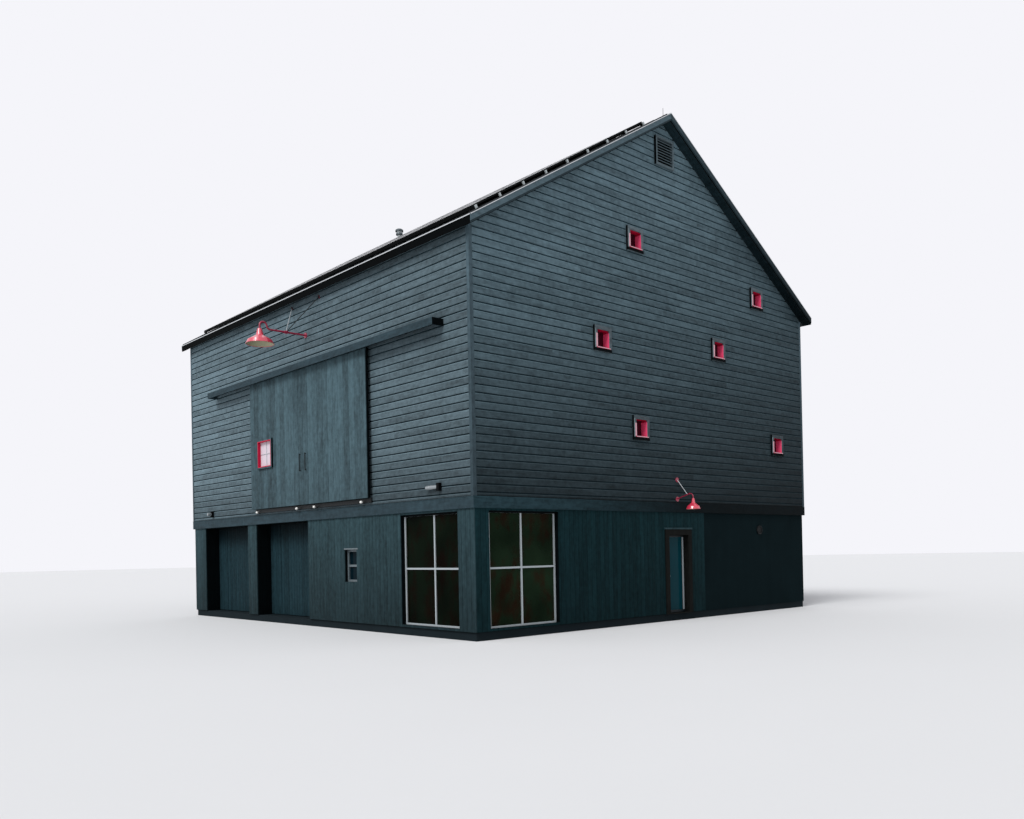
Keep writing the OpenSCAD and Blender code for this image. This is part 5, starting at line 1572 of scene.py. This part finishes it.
def hang_sun(scene, stage):
    """Broad key light from the front's side."""
    distance = 40
    sun = bpy.data.lights.new("key_light", "SUN")
    sun.energy = stage.sun_strength
    sun.angle = stage.sun_width
    towards = Vector((-math.cos(stage.sun_turn) * math.cos(stage.sun_rise),
                      -math.sin(stage.sun_turn) * math.cos(stage.sun_rise), math.sin(stage.sun_rise)))
    lamp = bpy.data.objects.new("key_light", sun)
    lamp.rotation_mode = "QUATERNION"
    lamp.rotation_quaternion = towards.to_track_quat("Z", "Y")
    lamp.location = towards * distance
    scene.collection.objects.link(lamp)


def soften_sky(scene, stage):
    """Soft even light, with a pale backdrop where the camera, a reflection or glass sees it."""
    world = bpy.data.worlds.new("soft_light")
    world.use_nodes = True
    scene.world = world
    tree = world.node_tree
    seen = tree.nodes.new("ShaderNodeLightPath").outputs
    shown = seen["Is Camera Ray"]
    for ray in ("Is Transmission Ray", "Is Glossy Ray"):
        either = tree.nodes.new("ShaderNodeMath")
        either.operation = "MAXIMUM"
        tree.links.new(shown, either.inputs[0])
        tree.links.new(seen[ray], either.inputs[1])
        shown = either.outputs[0]
    strength = tree.nodes.new("ShaderNodeMix")
    strength.inputs["A"].default_value = stage.sky_strength
    strength.inputs["B"].default_value = stage.backdrop_strength
    tree.links.new(shown, strength.inputs["Factor"])
    background = tree.nodes["Background"]
    background.inputs["Color"].default_value = (*stage.sky_colour, 1.0)
    tree.links.new(strength.outputs["Result"], background.inputs["Strength"])


def place_camera(scene, stage):
    """Camera at the eye point, with the view's middle shifted off the picture's middle."""
    sensor, farthest = 36.0, 400.0
    forward = Vector((math.sin(stage.yaw) * math.cos(stage.tilt),
                      math.cos(stage.yaw) * math.cos(stage.tilt), math.sin(stage.tilt)))
    side = Vector((math.cos(stage.yaw), -math.sin(stage.yaw), 0))
    above = side.cross(forward)
    right = side * math.cos(stage.roll) + above * math.sin(stage.roll)
    upright = above * math.cos(stage.roll) - side * math.sin(stage.roll)
    data = bpy.data.cameras.new("camera")
    data.sensor_width = sensor
    data.lens = stage.focal_px / IMAGE_SIZE[0] * sensor
    data.shift_x = (IMAGE_SIZE[0] / 2 - stage.middle_px[0]) / IMAGE_SIZE[0]
    data.shift_y = (stage.middle_px[1] - IMAGE_SIZE[1] / 2) / IMAGE_SIZE[0]
    data.clip_end = farthest
    made = bpy.data.objects.new("camera", data)
    axes = Matrix((right, upright, -forward)).transposed().to_4x4()
    made.matrix_world = Matrix.Translation(Vector(stage.eye)) @ axes
    scene.collection.objects.link(made)
    scene.camera = made


class BARN_OT_stage(bpy.types.Operator):
    """Lay the pale floor, hang the lights and set the camera"""
    bl_idname = "barn.stage"
    bl_label = "Stage"
    bl_options = {"REGISTER", "UNDO"}

    def execute(self, context):
        scene = context.scene
        for step in (lay_floor, hang_sun, soften_sky, place_camera):
            step(scene, scene.barn_stage)
        scene.view_settings.view_transform = "Standard"
        return {"FINISHED"}


OPERATORS = (
    BARN_OT_frame_finishes, BARN_OT_upper_boards, BARN_OT_lower_boards, BARN_OT_sliding_leaves,
    BARN_OT_leaf_window, BARN_OT_leaf_channel, BARN_OT_garage_doors, BARN_OT_belt_trim,
    BARN_OT_window_trim, BARN_OT_small_window, BARN_OT_entrance_trim, BARN_OT_roof_seams,
    BARN_OT_roof_edges, BARN_OT_solar_modules, BARN_OT_lamp_shades, BARN_OT_lamp_stays,
    BARN_OT_flood_lights, BARN_OT_guide_rollers, BARN_OT_wall_vent, BARN_OT_roof_vent,
    BARN_OT_lightning_rod, BARN_OT_stage,
)
GROUPS = {
    "barn_boards": BarnBoards, "barn_roofing": BarnRoofing, "barn_fittings": BarnFittings,
    "barn_colours": BarnColours, "barn_stage": BarnStage,
}


class BARN_PT_panel(bpy.types.Panel):
    """Sizes, colours and building steps of the barn"""
    bl_idname = "BARN_PT_panel"
    bl_label = "Barn"
    bl_space_type = "VIEW_3D"
    bl_region_type = "UI"
    bl_category = "Barn"

    def draw(self, context):
        for step in OPERATORS:
            self.layout.operator(step.bl_idname)
        for name, group in GROUPS.items():
            box = self.layout.box()
            for prop in group.__annotations__:
                box.prop(getattr(context.scene, name), prop)


def register():
    """Registers the classes and hangs the property groups on the scene."""
    for group in (*GROUPS.values(), *OPERATORS, BARN_PT_panel):
        bpy.utils.register_class(group)
    for name, group in GROUPS.items():
        setattr(bpy.types.Scene, name, PointerProperty(type=group))


def unregister():
    """Takes off the property groups and the classes."""
    for name in GROUPS:
        delattr(bpy.types.Scene, name)
    for group in reversed((*GROUPS.values(), *OPERATORS, BARN_PT_panel)):
        bpy.utils.unregister_class(group)


def main():
    """Registers the add-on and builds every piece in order."""
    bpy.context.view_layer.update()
    register()
    for step in OPERATORS:
        group, name = step.bl_idname.split(".")
        getattr(getattr(bpy.ops, group), name)()
    bpy.context.view_layer.update()


if __name__ == "__main__":
    main()
